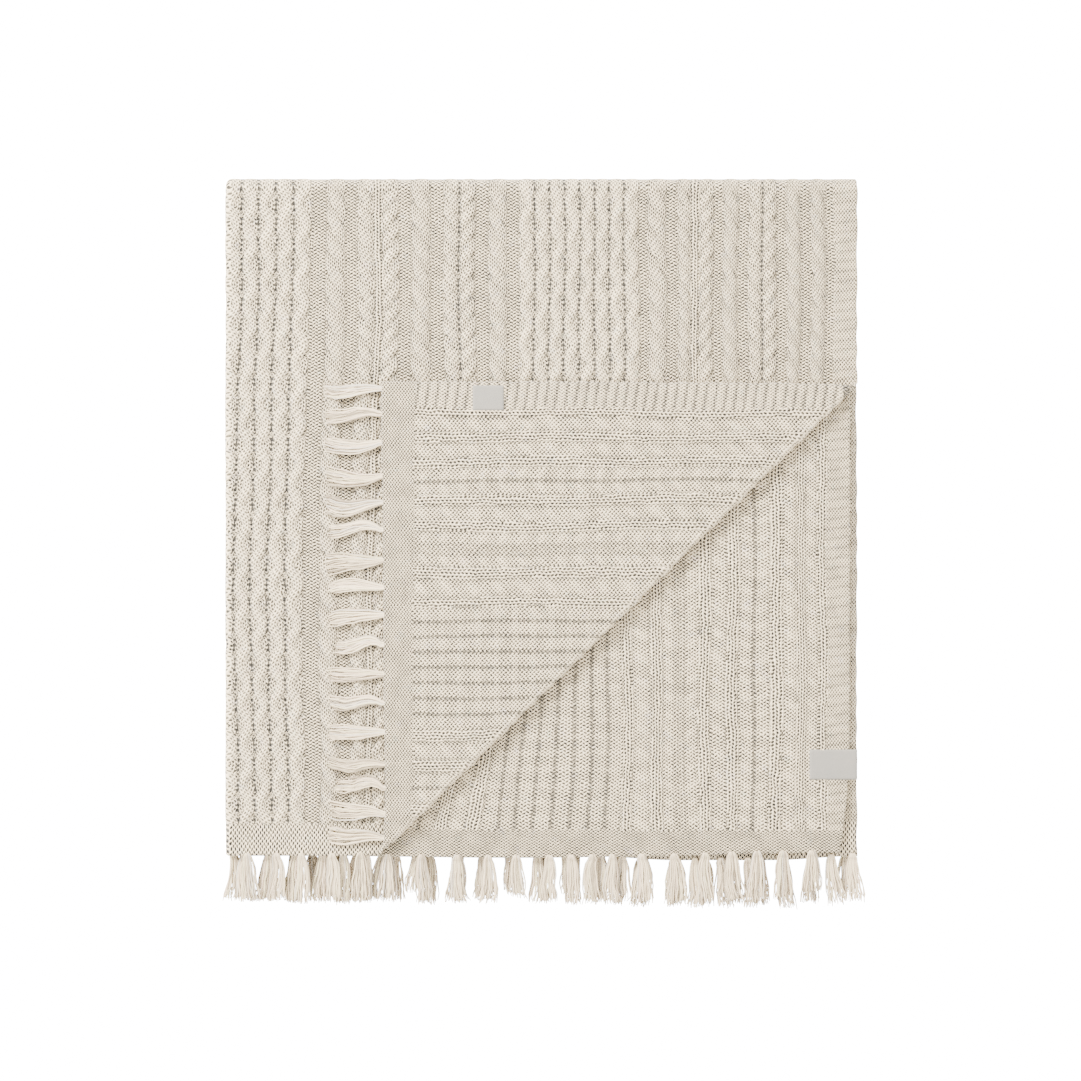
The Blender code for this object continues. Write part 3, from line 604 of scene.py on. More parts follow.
def paint_stitches(mesh, corners, totals, right):
    """Writes the two UV maps and the masks at every corner of every face."""
    starts = np.cumsum(totals) - totals
    middles = np.add.reduceat(corners, starts, axis=0) / totals[:, None]
    face = np.repeat(np.arange(len(totals)), totals)
    u, v = middles.T
    at_hem = in_hem(u, v)
    column, kind, across, along = pattern_at(u, v)
    (first, _), (second, _) = (strand(n, across, along, column) for n in (0, 1))
    number = (second > first).astype(float)
    of_face = (column[face], number[face], right, at_hem[face], part_at(u, v)[face])
    wale, course, across, along = stitch_count(*corners.T, *of_face)
    for title, values in (("stitch", (wale, course)), ("cable", (across, along))):
        layer = mesh.uv_layers.new(name=title)
        layer.uv.foreach_set("vector", np.stack(values, -1).astype(np.float32).reshape(-1))
    masks = mesh.color_attributes.new(name="masks", type="FLOAT_COLOR", domain="CORNER")
    colours = np.stack(stitch_masks(u, v, right, at_hem), -1)[face]
    masks.data.foreach_set("color", colours.astype(np.float32).reshape(-1))
    mesh.polygons.foreach_set("use_smooth", np.ones(len(totals), bool))


# %% [markdown]
# ## Helpers for node trees
# Every material here is a tree of small sums. A short class lets Python's own signs write them: the
# product of two values makes a Math node that multiplies, and hands back a value again.

# %% Making nodes
class Value:
    """An output of a node. Each sum or product of it makes a Math node in its tree."""

    def __init__(self, tree, socket):
        self.tree, self.socket = tree, socket

    def calc(self, operation, other=0.0):
        inputs = {0: self, 1: other}
        return output(self.tree, "ShaderNodeMath", inputs, operation=operation)

    __add__ = functools.partialmethod(calc, "ADD")
    __sub__ = functools.partialmethod(calc, "SUBTRACT")
    __mul__ = functools.partialmethod(calc, "MULTIPLY")

    def clamped(self):
        """Keeps the result from 0 to 1."""
        self.socket.node.use_clamp = True
        return self


def feed(node, inputs):
    """Links a node's inputs to values, or sets them to plain numbers, colours and names."""
    for key, value in dict(inputs).items():
        if isinstance(value, Value):
            value.tree.links.new(value.socket, node.inputs[key])
        else:
            node.inputs[key].default_value = value


def add_node(tree, kind, inputs=(), **settings):
    made = tree.nodes.new(kind)
    for key, value in settings.items():
        setattr(made, key, value)
    feed(made, inputs)
    return made


def outputs(tree, kind, inputs=(), **settings):
    """Makes a node and hands back its outputs."""
    return [Value(tree, socket) for socket in add_node(tree, kind, inputs, **settings).outputs]


def output(tree, kind, inputs=(), key=0, **settings):
    """Makes a node and hands back one of its outputs."""
    return Value(tree, add_node(tree, kind, inputs, **settings).outputs[key])


def vector(operation, first, second):
    """A Vector Math node's result. To scale, the second is a number."""
    tree = first.tree if isinstance(first, Value) else second.tree
    inputs = {0: first, "Scale" if operation == "SCALE" else 1: second}
    return output(tree, "ShaderNodeVectorMath", inputs, operation=operation)


def noise(at, scale, detail=2.0, roughness=0.5):
    """A Noise Texture node's value and colour."""
    inputs = {"Vector": at, "Scale": scale, "Detail": detail, "Roughness": roughness}
    return outputs(at.tree, "ShaderNodeTexNoise", inputs)


def fade(value, low, high, start=0.0, end=1.0):
    """A smooth step from start at low to end at high."""
    inputs = {"Value": value, "From Min": low, "From Max": high, "To Min": start, "To Max": end}
    return output(value.tree, "ShaderNodeMapRange", inputs, interpolation_type="SMOOTHSTEP")


def blend_colour(share, first, second):
    tree = first.tree if isinstance(first, Value) else share.tree
    return output(tree, "ShaderNodeMix", {0: share, 6: first, 7: second}, 2, data_type="RGBA")


def new_group(name, inputs, results, tree_kind="ShaderNodeTree"):
    """A node group, its inputs as values, and its output node.

    A socket is given as its type. An input may be a plain number instead, which it starts from.
    """
    group = bpy.data.node_groups.new(name, tree_kind)
    for way, sockets in (("INPUT", inputs), ("OUTPUT", results)):
        for title, given in sockets.items():
            kind = given if isinstance(given, str) else type(given).__name__.capitalize()
            kind = "NodeSocket" + kind
            socket = group.interface.new_socket(title, in_out=way, socket_type=kind)
            if not isinstance(given, str):
                socket.default_value = given
    entry = group.nodes.new("NodeGroupInput")
    given = {socket.name: Value(group, socket) for socket in entry.outputs}
    return group, given, group.nodes.new("NodeGroupOutput")

# %% [markdown]
# ## Stitches in the shader
# A knit stitch is a V: two bright legs with a column of small dark gaps on each side of them. A
# purl ground shows the backs of the loops instead, as a lattice of bumps in which every other row
# is shifted by half a stitch. Both come from one product of two waves, and the gaps are where it
# is lowest. Touching cables have a row of larger holes between them, four to a crossing, with one
# hidden behind it. The knit's material colours gaps and holes nearly black, as painted shade.

# %% Knit Vs, purl lattice and holes
LEG_SLANT = 0.7  # how far the legs of a V slant, in radians of a course
LATTICE_SHARE = 0.275  # of the lattice in a knit stitch; the rest is the arch of its legs
SEAM_START = 0.71  # where a seam of holes starts, in half widths of a cable
GAP_FLOOR, GAP_RIM = 0.385, 0.55  # heights that a gap of plain depth starts and ends at
SEAM_DOTS = 4.0  # holes to a crossing
stitches, given, result = new_group(
    "knitted_stitches",
    {"Stitch": "Vector", "Cable": "Vector", "Knit": 1.0, "Seam": 0.0, "Depth": 1.0},
    {"Height": "Float", "Hole": "Float"},
)
knit, depth = given["Knit"], given["Depth"]
wale, course, _ = outputs(stitches, "ShaderNodeSeparateXYZ", {0: given["Stitch"]})
around = wale * TAU
wave_across = around.calc("COSINE")
wave_along = (course * TAU + around.calc("SINE") * LEG_SLANT).calc("COSINE")
lattice = wave_across * wave_along
purl_height = lattice * 0.5 + 0.5
arch = wave_across.calc("ABSOLUTE") * (LATTICE_SHARE - 1.0) + 1.0
knit_height = lattice * LATTICE_SHARE + arch
height = output(stitches, "ShaderNodeMix", {0: knit, 2: purl_height, 3: knit_height})
gap = fade(height, depth * GAP_FLOOR, depth * GAP_RIM, 1.0, 0.0)
hole = (gap * (depth * 0.6 + 0.4)).clamped()
across, along, _ = outputs(stitches, "ShaderNodeSeparateXYZ", {0: given["Cable"]})
at_side = fade(across.calc("ABSOLUTE") - (knit * 0.05 + SEAM_START), 0.0, 0.1)
dots = fade((along * (SEAM_DOTS * TAU)).calc("COSINE"), -0.55, 0.1)
showing = fade((along * TAU).calc("COSINE"), 0.6, 0.95, 1.0, 0.3)
seam_hole = at_side * (dots * showing * 0.94 + 0.06) * given["Seam"]
top = (height - 1.0) * depth - seam_hole
feed(result, {"Height": top, "Hole": hole.calc("MAXIMUM", seam_hole)})
print("stitch group:", len(stitches.nodes), "nodes")

# %% [markdown]
# ## Flecked cotton
# The yarn is spun from recycled cotton, so faint flecks run through the cream: lilac, straw, rose,
# leaf green and slate. Noise at the size of a few stitches picks them out, and a finer one mottles
# the cream. The cloth and the tassels share this group.

# %% Flecks in the yarn
CREAM = (0.88, 0.765, 0.553, 1.0)
DEEPER_CREAM = (0.84, 0.720, 0.511, 1.0)
# Columns: tint, where in the noise its flecks are looked up, and the noise's scale
FLECKS = (
    ((0.70, 0.66, 0.80, 1.0), (3.1, 0.4, 1.7), 90.0),
    ((0.90, 0.84, 0.52, 1.0), (7.9, 5.2, 0.3), 120.0),
    ((0.93, 0.66, 0.60, 1.0), (1.2, 9.4, 4.4), 105.0),
    ((0.62, 0.76, 0.62, 1.0), (5.5, 2.8, 8.1), 110.0),
    ((0.58, 0.64, 0.70, 1.0), (9.3, 7.7, 2.6), 95.0),
)
flecks, given, result = new_group(
    "flecked_cotton",
    {"Vector": "Vector", "Strength": 0.3},
    {"Color": "Color", "Fuzz": "Float"},
)
where = given["Vector"]
colour = blend_colour(fade(noise(where, 260.0)[0], 0.3, 0.75), DEEPER_CREAM, CREAM)
for tint, offset, scale in FLECKS:
    spots, _ = noise(vector("ADD", where, offset), scale, 3.0, 0.6)
    colour = blend_colour(fade(spots, 0.6, 0.74) * given["Strength"], colour, tint)
feed(result, {"Color": colour, "Fuzz": noise(where, 1500.0)[0]})


def cotton_at(where, strength):
    """The yarn's colour and its fuzz."""
    inputs = {"Vector": where, "Strength": strength}
    return outputs(where.tree, "ShaderNodeGroup", inputs, node_tree=flecks)


def new_material(name):
    """A material, its node tree and the object's own coordinates."""
    made = bpy.data.materials.new(name)
    made.use_nodes = True
    return made, made.node_tree, output(made.node_tree, "ShaderNodeTexCoord", key="Object")


def dress(colour, relief, strength, distance, roughness=0.92, sheen=0.25):
    """Feeds the material's shader with a colour and a relief of that height in metres."""
    bump = {"Strength": strength, "Distance": distance, "Height": relief}
    inputs = {
        "Base Color": colour,
        "Normal": output(colour.tree, "ShaderNodeBump", bump),
        "Roughness": roughness,
        "Specular IOR Level": 0.2,
        "Sheen Weight": sheen,
        "Sheen Roughness": 0.5,
    }
    feed(colour.tree.nodes["Principled BSDF"], inputs)

# %% The cream knit
VALLEY_SHADE_COLOUR = (0.42, 0.37, 0.30, 1.0)
LOW_STITCH_SHADE = (0.5, 0.44, 0.35, 1.0)
GAP_SHADE = (0.013, 0.012, 0.010, 1.0)
VALLEY_SHADE_SHARE = 0.34
FUZZ_SHARE = 0.35
KNIT_RELIEF = 2.4 * MM
knit_material, tree, where = new_material("cream_knit")


def unevenly(uv_name, amount):
    """A UV map with a slow wander added, because no two stitches are pulled alike."""
    off = vector("SUBTRACT", noise(where, 90.0)[1], (0.5, 0.5, 0.5))
    plain = output(tree, "ShaderNodeUVMap", uv_map=uv_name)
    return vector("ADD", plain, vector("SCALE", off, amount))


masks, valley_shade = outputs(tree, "ShaderNodeVertexColor", layer_name="masks")
knit, seam, depth = outputs(tree, "ShaderNodeSeparateColor", {0: masks})
patches = fade(noise(where, 65.0)[0], 0.3, 0.7, 0.94, 1.06)
pattern = {
    "Stitch": unevenly("stitch", 0.7),
    "Cable": unevenly("cable", 0.2),
    "Knit": knit,
    "Seam": seam,
    "Depth": depth * patches,
}
height, hole = outputs(tree, "ShaderNodeGroup", pattern, node_tree=stitches)
cotton, fuzz = cotton_at(where, 0.32)
# Painted shade: valleys, pleat grooves and the corner's edge darken towards a brown grey.
colour = blend_colour(valley_shade * VALLEY_SHADE_SHARE, cotton, VALLEY_SHADE_COLOUR)
# Painted shade: the low parts of each stitch darken towards a deeper tone.
colour = blend_colour((height * -0.3 + 0.02).clamped(), colour, LOW_STITCH_SHADE)
# Painted shade: the gaps between stitches and the seams' holes are coloured nearly black, a little
# unevenly.
uneven_hole_shade = fade(noise(where, 300.0, 1.0)[0], 0.3, 0.5, 0.9, 1.0)
colour = blend_colour(hole * uneven_hole_shade, colour, GAP_SHADE)
dress(colour, fuzz * FUZZ_SHARE + height, 1.0, KNIT_RELIEF)
print("cream knit:", len(tree.nodes), "nodes")

# %% [markdown]
# ## Laying the layers
# Eight slabs make up the sheet. The upper face of the front, the turned corner and the strip of the
# second layer that shows beside it get fine grids. The hidden layers get coarse ones, with lines
# gathered at the folds, where the bend is tight and the layers' ends can be seen from the side.

# %% The eight slabs of the throw
GRID = 6.0  # millimetres to a large square, away from the folds


def lines(start, end, step=GRID):
    return np.linspace(start, end, max(2, round(abs(end - start) / step) + 1))


def joined(*runs):
    """Several runs of grid lines, in one rising list."""
    return np.unique(np.concatenate(runs).round(5))


PAST_LEFT = -12.0  # the front's grids run on round the left and the top fold to here
PAST_TOP = -25.0
LEFT_LINES = joined(lines(PAST_LEFT, -LEFT_REACH, 4.0), lines(-LEFT_REACH, LEFT_REACH, 1.97))
TOP_LINES = lines(-TOP_REACH, TOP_REACH, 3.3)
ABOVE_TOP = joined(lines(PAST_TOP, -TOP_REACH, 4.3), TOP_LINES)
FRONT_END = 172.0
BAND_END = 232.0
CORNER_START = -12.0  # the fine grid of the turned corner begins before the roll


def triangles(piece):
    return sum(len(face.vertices) - 2 for face in piece.data.polygons)


def in_roll(u, v):
    return beyond_roll(np.abs(u), v) > CORNER_START


def before_roll(u, v):
    return ~in_roll(u, v)


front_u = joined(LEFT_LINES, lines(LEFT_REACH, FRONT_END))
band_u = lines(FRONT_END, HALF_WIDTH)
corner_v = lines(BAND_END, HALF_LENGTH)
near_v = lines(TOP_REACH, HALF_LENGTH)
second_u = lines(-HALF_WIDTH, PAST_LEFT)
under_v = lines(-HALF_LENGTH, PAST_TOP)
SLABS = (
    ("throw_front", front_u, joined(ABOVE_TOP, near_v), 4, "right", None),
    ("throw_band", band_u, joined(ABOVE_TOP, lines(TOP_REACH, BAND_END)), 4, "right", None),
    ("throw_corner", band_u, corner_v, 3, "wrong", in_roll),
    ("throw_under_corner", band_u, corner_v, 1, "right", before_roll),
    ("throw_second", second_u, near_v, 3, "wrong", in_roll),
    ("throw_second_hidden", second_u, joined(ABOVE_TOP, near_v), 1, "wrong", before_roll),
    ("throw_third", second_u, under_v, 1, "right", None),
    ("throw_underside", joined(front_u, band_u), under_v, 2, "right", None),
)
total = 0
for name, u_lines, v_lines, fine, shows, keep_at in SLABS:
    piece, flat, area = slab(name, u_lines, v_lines, fine, shows, keep_at)
    piece.data.materials.append(knit_material)
    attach(piece, "root")
    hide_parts("throw")
    total += triangles(piece)
    print(name, triangles(piece), "triangles,", round(area, 3), "square metres")
print("cloth:", total, "triangles")

# %% [markdown]
# ## Tassels
# A tassel is a hank of yarn pulled through the hem and knotted, so it is narrow at the hem and
# fans out to a frayed end. Each tassel is one guide line, and a Geometry Nodes tree copies the line
# for every strand, moves each copy to its own place in the hank, and gives it the thickness of the
# yarn. The guides start on top of the cloth, where the knot's loop wraps over the hem.

# %% Where the tassels hang
LONG = 48.5  # of a tassel
FLAP_LONG = 58.0  # combed out straight over the face below
# Where the tassels of each run are knotted, as distances along the hem from the left fold.
FRONT_TASSELS = (20.5, 50.3, 76.0, 107.8, 136.6)
FLAP_TASSELS = (
    176.5, 201.2, 228.1, 252.2, 285.8, 315.5, 345.7, 376.6, 407.5,
    435.2, 463.9, 495.4, 523.6, 550.5, 585.4, 615.0, 641.5,
)
SECOND_TASSELS = (
    18.5, 42.1, 69.8, 97.6, 119.1, 142.8, 164.3, 199.2, 236.2, 268.0, 296.8,
    330.7, 353.3, 374.9, 395.4, 426.2, 459.1, 490.9, 518.2, 544.3, 571.0, 600.5,
)
THIRD_TASSELS = (
    16.4, 42.1, 71.9, 100.6, 132.5, 159.2, 194.1, 234.2, 262.9, 289.6, 319.4,
    348.2, 383.1, 405.7, 428.3, 459.1, 480.6, 507.3, 535.1, 572.0, 621.3, 642.9,
)
FOURTH_TASSELS = (
    5.0, 42.1, 66.8, 86.3, 114.0, 140.7, 171.5, 206.4, 238.3, 265.0, 294.7,
    324.5, 357.4, 379.0, 401.6, 426.2, 461.1, 489.9, 516.6, 547.4, 600.8, 635.7,
)
# Columns: node, side of the left fold, end of the throw (1 near, -1 far), length, places, and
# (underside, top) of the hank at the knot, at mid length and at the tip
FRINGES = (
    ("fringe_front", 1, 1, LONG, FRONT_TASSELS, ((20.9, 24.8), (15.7, 19.8), (13.0, 16.2))),
    ("fringe_flap", 1, 1, FLAP_LONG, FLAP_TASSELS, ((28.3, 32.2), (27.4, 31.4), (27.2, 30.2))),
    ("fringe_second", -1, 1, LONG, SECOND_TASSELS, ((14.8, 18.8), (10.8, 14.8), (9.1, 12.4))),
    ("fringe_third", -1, -1, LONG, THIRD_TASSELS, ((7.5, 11.5), (5.5, 9.6), (4.9, 8.3))),
    ("fringe_fourth", 1, -1, LONG, FOURTH_TASSELS, ((0.0, 4.8), (0.4, 5.0), (0.4, 4.2))),
)


def hem_frame(u, end):
    """A hem's place, its direction and the direction outwards, level, in millimetres."""

    def at(place, inwards=0.0):
        inset = eased(NEAR_HEM if end > 0 else FAR_HEM, place) + inwards
        return (folded(place, end * (HALF_LENGTH - inset), 0.0) - SHIFT) / MM

    along = at(u + 1.0) - at(u - 1.0)
    out = at(u) - at(u, 2.0)
    along[2] = out[2] = 0.0
    along /= np.linalg.norm(along)
    out -= along * (out @ along)
    return at(u), along, out / np.linalg.norm(out)


def wander(index, salt):
    """A steady pseudo-random number from -1 to 1."""
    return 2.0 * math.modf(abs(math.sin(index * 12.9898 + salt * 78.233)) * 43758.5453)[0] - 1.0


TILT = 4.2  # how far a tassel's tip may lie to one side
# How each tassel runs. Columns: distance out from the hem, for the loop in millimetres and for the
# hank as a share of its length, and half its width there
LOOP = ((-2.9, 1.6), (-1.5, 2.4), (0.4, 3.5), (2.6, 4.2))
SHARES = (0.14, 0.28, 0.42, 0.56, 0.70, 0.85, 1.0)
HANK = tuple(zip(SHARES, (5.0, 5.9, 6.6, 7.2, 7.8, 8.2, 8.5)))
# On the turned corner the loops lie on the face below, so only the hanks show, and they are slim.
FLAP_LOOP = ((-1.0, 1.6), (-0.4, 1.9), (0.4, 2.1), (2.6, 2.5))
FLAP_HANK = tuple(zip(SHARES, (3.4, 4.7, 5.8, 6.7, 7.4, 7.9, 7.7)))


def tassel_guides(name, side, end, long, places, heights):
    """Guide lines of one run of tassels: for each point its place, and what it knows."""
    turned = name == "fringe_flap"
    loop, hank = (FLAP_LOOP, FLAP_HANK) if turned else (LOOP, HANK)
    most_bow, most_sway = (5.0, 3.0) if turned else (2.4, 1.0)
    salt = len(name)
    middles = [(low + high) / 2 for low, high in heights]
    over = middles[0] if turned else heights[0][1]
    lifts = (over + 0.55, over + 0.55, over + 0.1, middles[0] + 0.2)
    points, edges = [], []
    for index, knot in enumerate(places):
        here, along, out = hem_frame(side * knot, end)
        tilt = TILT * wander(index, side + 3 * end + salt)
        length = long * (1.0 + 0.03 * wander(index, 7))
        if wander(index, 31 + salt) > 0.72:  # about one tassel in seven is shorter
            length *= 0.85
        fan = 0.22 * wander(index, 13 + salt)
        bow = most_bow * wander(index, 3 + salt)
        sway = most_sway * wander(index, 19 + salt)
        rows = [(reach, 0.0, wide, lift) for (reach, wide), lift in zip(loop, lifts)]
        for share, wide in hank:
            height = float(np.interp(share, (0.1, 0.5, 1.0), middles))
            rows.append((share * length, share, wide * (1.0 + fan * share), height))
        edges += [(len(points) + step, len(points) + step + 1) for step in range(len(rows) - 1)]
        for reach, share, wide, height in rows:
            off = share * tilt + bow * math.sin(math.pi * share) + sway * math.sin(TAU * share)
            place = here + along * off + out * reach
            thick = 0.9 + 0.35 * math.sin(math.pi * min(1.0, share * 1.5))
            points.append(((place[0], place[1], height), along, out, wide, thick, share))
    return edges, *zip(*points)


print(sum(len(row[4]) for row in FRINGES), "tassels in", len(FRINGES), "runs")

# %% [markdown]
# ## The strand tree
# The tree's inputs are the number of strands in a hank, the yarn's radius, how uneven the ends and
# how wavy the strands are, and a seed. Mesh to Curve turns each guide into a curve, Duplicate
# Elements copies it, and each copy stores four steady random numbers: its places across the hank
# and in its depth, its tint, and how short it is cut. Set Position then spreads the copies, and
# Curve to Mesh gives them five sides each.

# %% A tree that fans one guide into strands
strands_tree, given, result = new_group(
    "tassel_strands",
    {
        "Geometry": "Geometry",
        "Strands": 28,
        "Yarn Radius": 0.88 * MM,
        "Uneven Ends": 5.0 * MM,
        "Waves": 5.0 * MM,
        "Seed": 4,
        "Material": "Material",
    },
    {"Geometry": "Geometry"},
    "GeometryNodeTree",
)


def geo(kind, inputs=(), key=0, **settings):
    return output(strands_tree, kind, inputs, key, **settings)


def known(name, kind="FLOAT"):
    """What a guide's point knows, or what a strand has stored."""
    inputs = {"Name": name}
    return geo("GeometryNodeInputNamedAttribute", inputs, "Attribute", data_type=kind)


line = geo("GeometryNodeMeshToCurve", {"Mesh": given["Geometry"]})
inputs = {"Geometry": line, "Amount": given["Strands"]}
stage, index = outputs(strands_tree, "GeometryNodeDuplicateElements", inputs, domain="SPLINE")
share = index.calc("DIVIDE", given["Strands"])
RANDOMS = (("across", -0.22, 0.22), ("deep", -1.0, 1.0), ("tint", 0.0, 1.0), ("short", 0.0, 1.0))
for salt, (title, low, high) in enumerate(RANDOMS, 1):
    inputs = {2: low, 3: high, "Seed": given["Seed"] + float(salt)}
    value = geo("FunctionNodeRandomValue", inputs, 1, data_type="FLOAT")
    if title == "across":
        value = share * 2.0 - 0.94 + value
    inputs = {"Geometry": stage, "Name": title, "Value": value}
    stage = geo("GeometryNodeStoreNamedAttribute", inputs, data_type="FLOAT", domain="CURVE")
along, out = known("along", "FLOAT_VECTOR"), known("out", "FLOAT_VECTOR")
sideways = vector("SCALE", along, known("across") * known("spread") * MM)
upwards = vector("SCALE", (0.0, 0.0, 1.0), known("deep") * known("thick") * MM)
cut = known("short") * known("reach") * given["Uneven Ends"]
backwards = vector("SCALE", out, cut * -1.0)
own_noise = vector("SCALE", (13.0, 7.0, 5.0), known("tint"))
place = vector("ADD", geo("GeometryNodeInputPosition"), own_noise)
wave = vector("SUBTRACT", noise(place, 75.0, 1.0)[1], (0.5, 0.5, 0.5))
wave = vector("MULTIPLY", wave, (2.0, 2.0, 0.6))
wave = vector("SCALE", wave, given["Waves"] * known("reach"))
moved = vector("ADD", vector("ADD", sideways, upwards), vector("ADD", backwards, wave))
stage = geo("GeometryNodeSetPosition", {"Geometry": stage, "Offset": moved})
ring = {"Resolution": 5, "Radius": given["Yarn Radius"]}
tube = {
    "Curve": stage,
    "Profile Curve": geo("GeometryNodeCurvePrimitiveCircle", ring, mode="RADIUS"),
    "Fill Caps": True,
    "Scale": known("reach").calc("POWER", 3.0) * -0.45 + 1.0,
}
stage = geo("GeometryNodeCurveToMesh", tube)
stage = geo("GeometryNodeSetShadeSmooth", {"Geometry": stage})
stage = geo("GeometryNodeRealizeInstances", {"Geometry": stage})
inputs = {"Geometry": stage, "Material": given["Material"]}
feed(result, {0: geo("GeometryNodeSetMaterial", inputs)})
print("strand tree:", len(strands_tree.nodes), "nodes")

# %% [markdown]
# ## Tassel yarn
# Each strand is loosely twisted cotton of one faint tint, so the stored random number picks a
# colour from a ramp of creams, flecks and one dark tone of painted shade. A fine noise gives it its
# fibres, and the strands deep in a hank get painted shade.

# %% The yarn's material
# Columns: where the tint starts in the ramp, and the tint
TINTS_AND_SHADE = (
    (0.0, (0.56, 0.475, 0.35, 1.0)),
    (0.30, (0.66, 0.57, 0.42, 1.0)),
    (0.54, (0.57, 0.455, 0.365, 1.0)),
    (0.64, (0.485, 0.455, 0.43, 1.0)),
    (0.73, (0.55, 0.51, 0.335, 1.0)),
    # The last, dark tone is painted shade, for strands that lie in shadow within a hank.
    (0.82, (0.26, 0.215, 0.165, 1.0)),
)
DEEP_STRAND_SHADE = (0.2, 0.16, 0.12, 1.0)
YARN_RELIEF = 0.6 * MM
yarn_material, tree, where = new_material("cream_yarn")
tint, deep = (
    output(tree, "ShaderNodeAttribute", key="Fac", attribute_name=title)
    for title in ("tint", "deep")
)
palette = add_node(tree, "ShaderNodeValToRGB", {0: tint})
ramp_of_tints_and_shade = palette.color_ramp
ramp_of_tints_and_shade.interpolation = "CONSTANT"
while len(ramp_of_tints_and_shade.elements) < len(TINTS_AND_SHADE):
    ramp_of_tints_and_shade.elements.new(0.5)
for element, (position, colour) in zip(ramp_of_tints_and_shade.elements, TINTS_AND_SHADE):
    element.position = position
    element.color = colour
cotton, fuzz = cotton_at(where, 0.18)
colour = blend_colour(0.8, cotton, Value(tree, palette.outputs[0]))
# Painted shade: strands deep in a hank darken towards a dark brown.
colour = blend_colour(fade(deep, -1.0, 0.6, 0.65, 0.0), colour, DEEP_STRAND_SHADE)
dress(colour, fuzz, 0.6, YARN_RELIEF)

# %% The five runs of tassels
KNOWS = (("along", 3), ("out", 3), ("spread", 1), ("thick", 1), ("reach", 1))


def guide_object(name, edges, places, *knows):
    mesh = bpy.data.meshes.new(name)
    mesh.from_pydata((np.array(places) * MM + SHIFT).tolist(), edges, [])
    for (title, size), values in zip(KNOWS, knows):
        kind, field = ("FLOAT_VECTOR", "vector") if size == 3 else ("FLOAT", "value")
        data = mesh.attributes.new(title, kind, "POINT").data
        data.foreach_set(field, np.array(values, np.float32).reshape(-1))
    return new_object(name, mesh)


def grow(guide, tree, **values):
    """Runs a Geometry Nodes tree on an object and leaves a plain mesh in its place."""
    modifier = guide.modifiers.new("grow", "NODES")
    modifier.node_group = tree
    for socket in tree.interface.items_tree:
        if socket.name in values:
            modifier[socket.identifier] = values[socket.name]
    graph = bpy.context.evaluated_depsgraph_get()
    mesh = bpy.data.meshes.new_from_object(guide.evaluated_get(graph), depsgraph=graph)
    guide.modifiers.remove(modifier)
    guide.data = mesh


for seed, row in enumerate(FRINGES):
    piece = guide_object("tassels_" + row[0].split("_")[1], *tassel_guides(*row))
    grow(piece, strands_tree, Seed=11 * seed + 4, Material=yarn_material)
    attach(piece, "root")
    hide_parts(row[0])
    print(piece.name, triangles(piece), "triangles")

# %% [markdown]
# ## Labels
# Two plain woven tabs of grey tape are sewn on: a small one on the turned corner and a larger one
# on the layer below. Each is a thin pad that is held down by its sewn edges and stands a
# little proud between them. They carry nothing.

# %% Grey woven tape
DARK_TAPE = (0.172, 0.175, 0.172, 1.0)
LIGHT_TAPE = (0.221, 0.211, 0.201, 1.0)
THREAD_CROWN_HIGHLIGHT = (0.29, 0.29, 0.281, 1.0)
WARP, WEFT = 0.62 * MM, 0.48 * MM  # from one thread to the next
TAPE_RELIEF = 0.3 * MM
tape_material, tree, where = new_material("grey_tape")
x, y, _ = outputs(tree, "ShaderNodeSeparateXYZ", {0: where})
weave = (x * (TAU / WARP)).calc("SINE") * (y * (TAU / WEFT)).calc("SINE") * 0.5 + 0.5
colour = blend_colour(noise(where, 60.0, 3.0)[0], DARK_TAPE, LIGHT_TAPE)
# Painted highlight: the crowns of the woven threads are coloured lighter.
colour = blend_colour(weave * 0.12, colour, THREAD_CROWN_HIGHLIGHT)
dress(colour, weave, 0.35, TAPE_RELIEF, roughness=0.62, sheen=0.1)

SUNK = 0.9 * MM  # how far a tab's underside lies below the label's box
TAB_RIM, TAB_PUFF = 0.55 * MM, 0.9 * MM  # height of the sewn rim, and of the middle over it
RIM_ROUND = 2.2 * MM


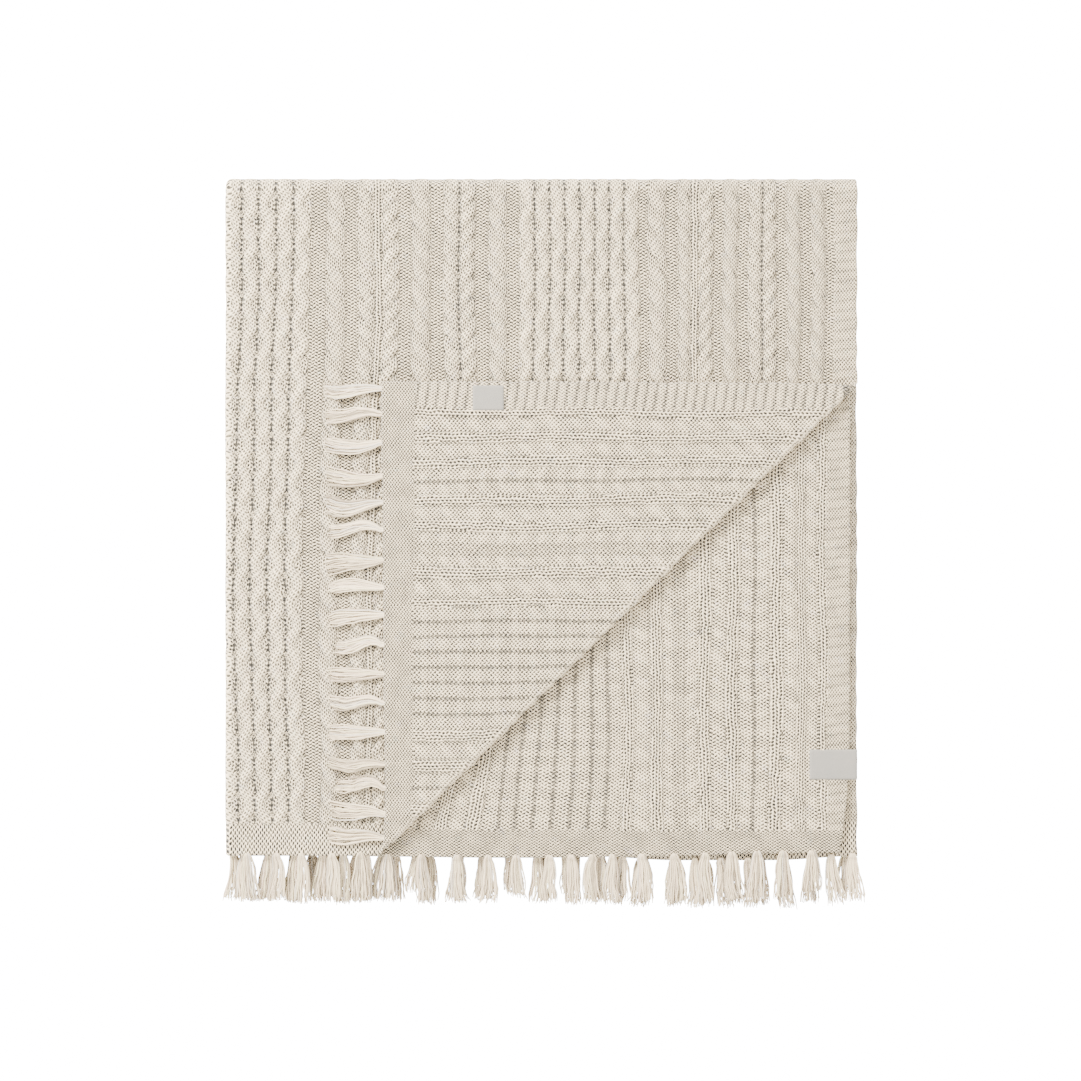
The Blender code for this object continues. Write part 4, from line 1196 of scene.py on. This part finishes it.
def make_label(name, node):
    """A thin tab with rounded edges, low along its sewn rim."""
    low, high = (np.array(list(corner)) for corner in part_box(node))
    size = high - low
    s, t = np.meshgrid(np.linspace(0.0, 1.0, 33), np.linspace(0.0, 1.0, 25))
    rim = np.minimum(np.minimum(s, 1.0 - s) * size[0], np.minimum(t, 1.0 - t) * size[1])
    puff = np.sqrt(1.0 - (1.0 - np.clip(rim / RIM_ROUND, 0.0, 1.0)) ** 2)
    puff *= 0.8 + 0.2 * np.sin(s * math.pi) * np.sin(t * math.pi)
    x, y, base = low[0] + s * size[0], low[1] + t * size[1], low[2] - SUNK
    heights = (base + TAB_RIM + puff * TAB_PUFF, np.full_like(x, base))
    points = np.concatenate([np.stack((x, y, z), -1).reshape(-1, 3) for z in heights])
    top = np.arange(x.size).reshape(x.shape)
    bottom = top + x.size
    keep = np.ones((x.shape[0] - 1, x.shape[1] - 1), bool)
    faces = squares(top, keep, False).tolist() + squares(bottom, keep, True).tolist()
    faces += rim_walls(keep, 1, bottom, top, False)
    mesh = bpy.data.meshes.new(name)
    mesh.from_pydata(points.tolist(), [], faces)
    mesh.polygons.foreach_set("use_smooth", np.ones(len(faces), bool))
    mesh.materials.append(tape_material)
    label = new_object(name, mesh)
    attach(label, "root")
    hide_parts(node)
    return label


for name, node in (("small_tab", "label_small"), ("large_tab", "label_large")):
    print(name, [round(value * 1000, 1) for value in make_label(name, node).dimensions], "mm")

# %% [markdown]
# ## Floor, light and camera
# The throw lies on a white surface under soft studio light, brighter from the upper left, and the
# camera looks straight down through a long lens, so that the folded square stays square.

# %% White surface
FLOOR_SIZE = 16.0
bpy.ops.mesh.primitive_grid_add(x_subdivisions=8, y_subdivisions=8, size=FLOOR_SIZE)
floor = bpy.context.object
floor.name = "floor"
floor_material, tree, _ = new_material("white_surface")
seen = output(tree, "ShaderNodeLightPath", key="Is Camera Ray")
looks = {
    "Base Color": (0.93, 0.93, 0.93, 1.0),
    "Roughness": 0.9,
    "Emission Color": (0.95, 0.97, 1.0, 1.0),
    "Emission Strength": seen * 16.0,
}
feed(tree.nodes["Principled BSDF"], looks)
floor.data.materials.append(floor_material)

# %% Soft light
WARM = (1.0, 0.93, 0.81)
world = bpy.data.worlds.new("soft_studio")
world.use_nodes = True
feed(world.node_tree.nodes["Background"], {"Color": (*WARM, 1.0), "Strength": 3.9})
bpy.context.scene.world = world

lamp_data = bpy.data.lights.new("upper_left", "AREA")
lamp_data.size = 1.3
lamp_data.energy = 900.0
lamp_data.color = WARM
lamp = new_object("upper_left", lamp_data)
x, y, z = lamp.location = (-2.3, 2.3, 2.4)
# It points at the middle of the floor.
lamp.rotation_euler = (math.atan2(math.hypot(x, y), z), 0.0, math.atan2(-y, -x) - math.pi / 2)

# %% Camera
VIEW_CENTRE = (-0.0033, 0.0024)
VIEW_WIDTH = 1.110
camera_data = bpy.data.cameras.new("camera")
camera_data.lens = 150.0
camera_data.sensor_width = 36.0
camera = new_object("camera", camera_data)
camera.location = (*VIEW_CENTRE, 0.024 + VIEW_WIDTH * camera_data.lens / camera_data.sensor_width)
bpy.context.scene.camera = camera
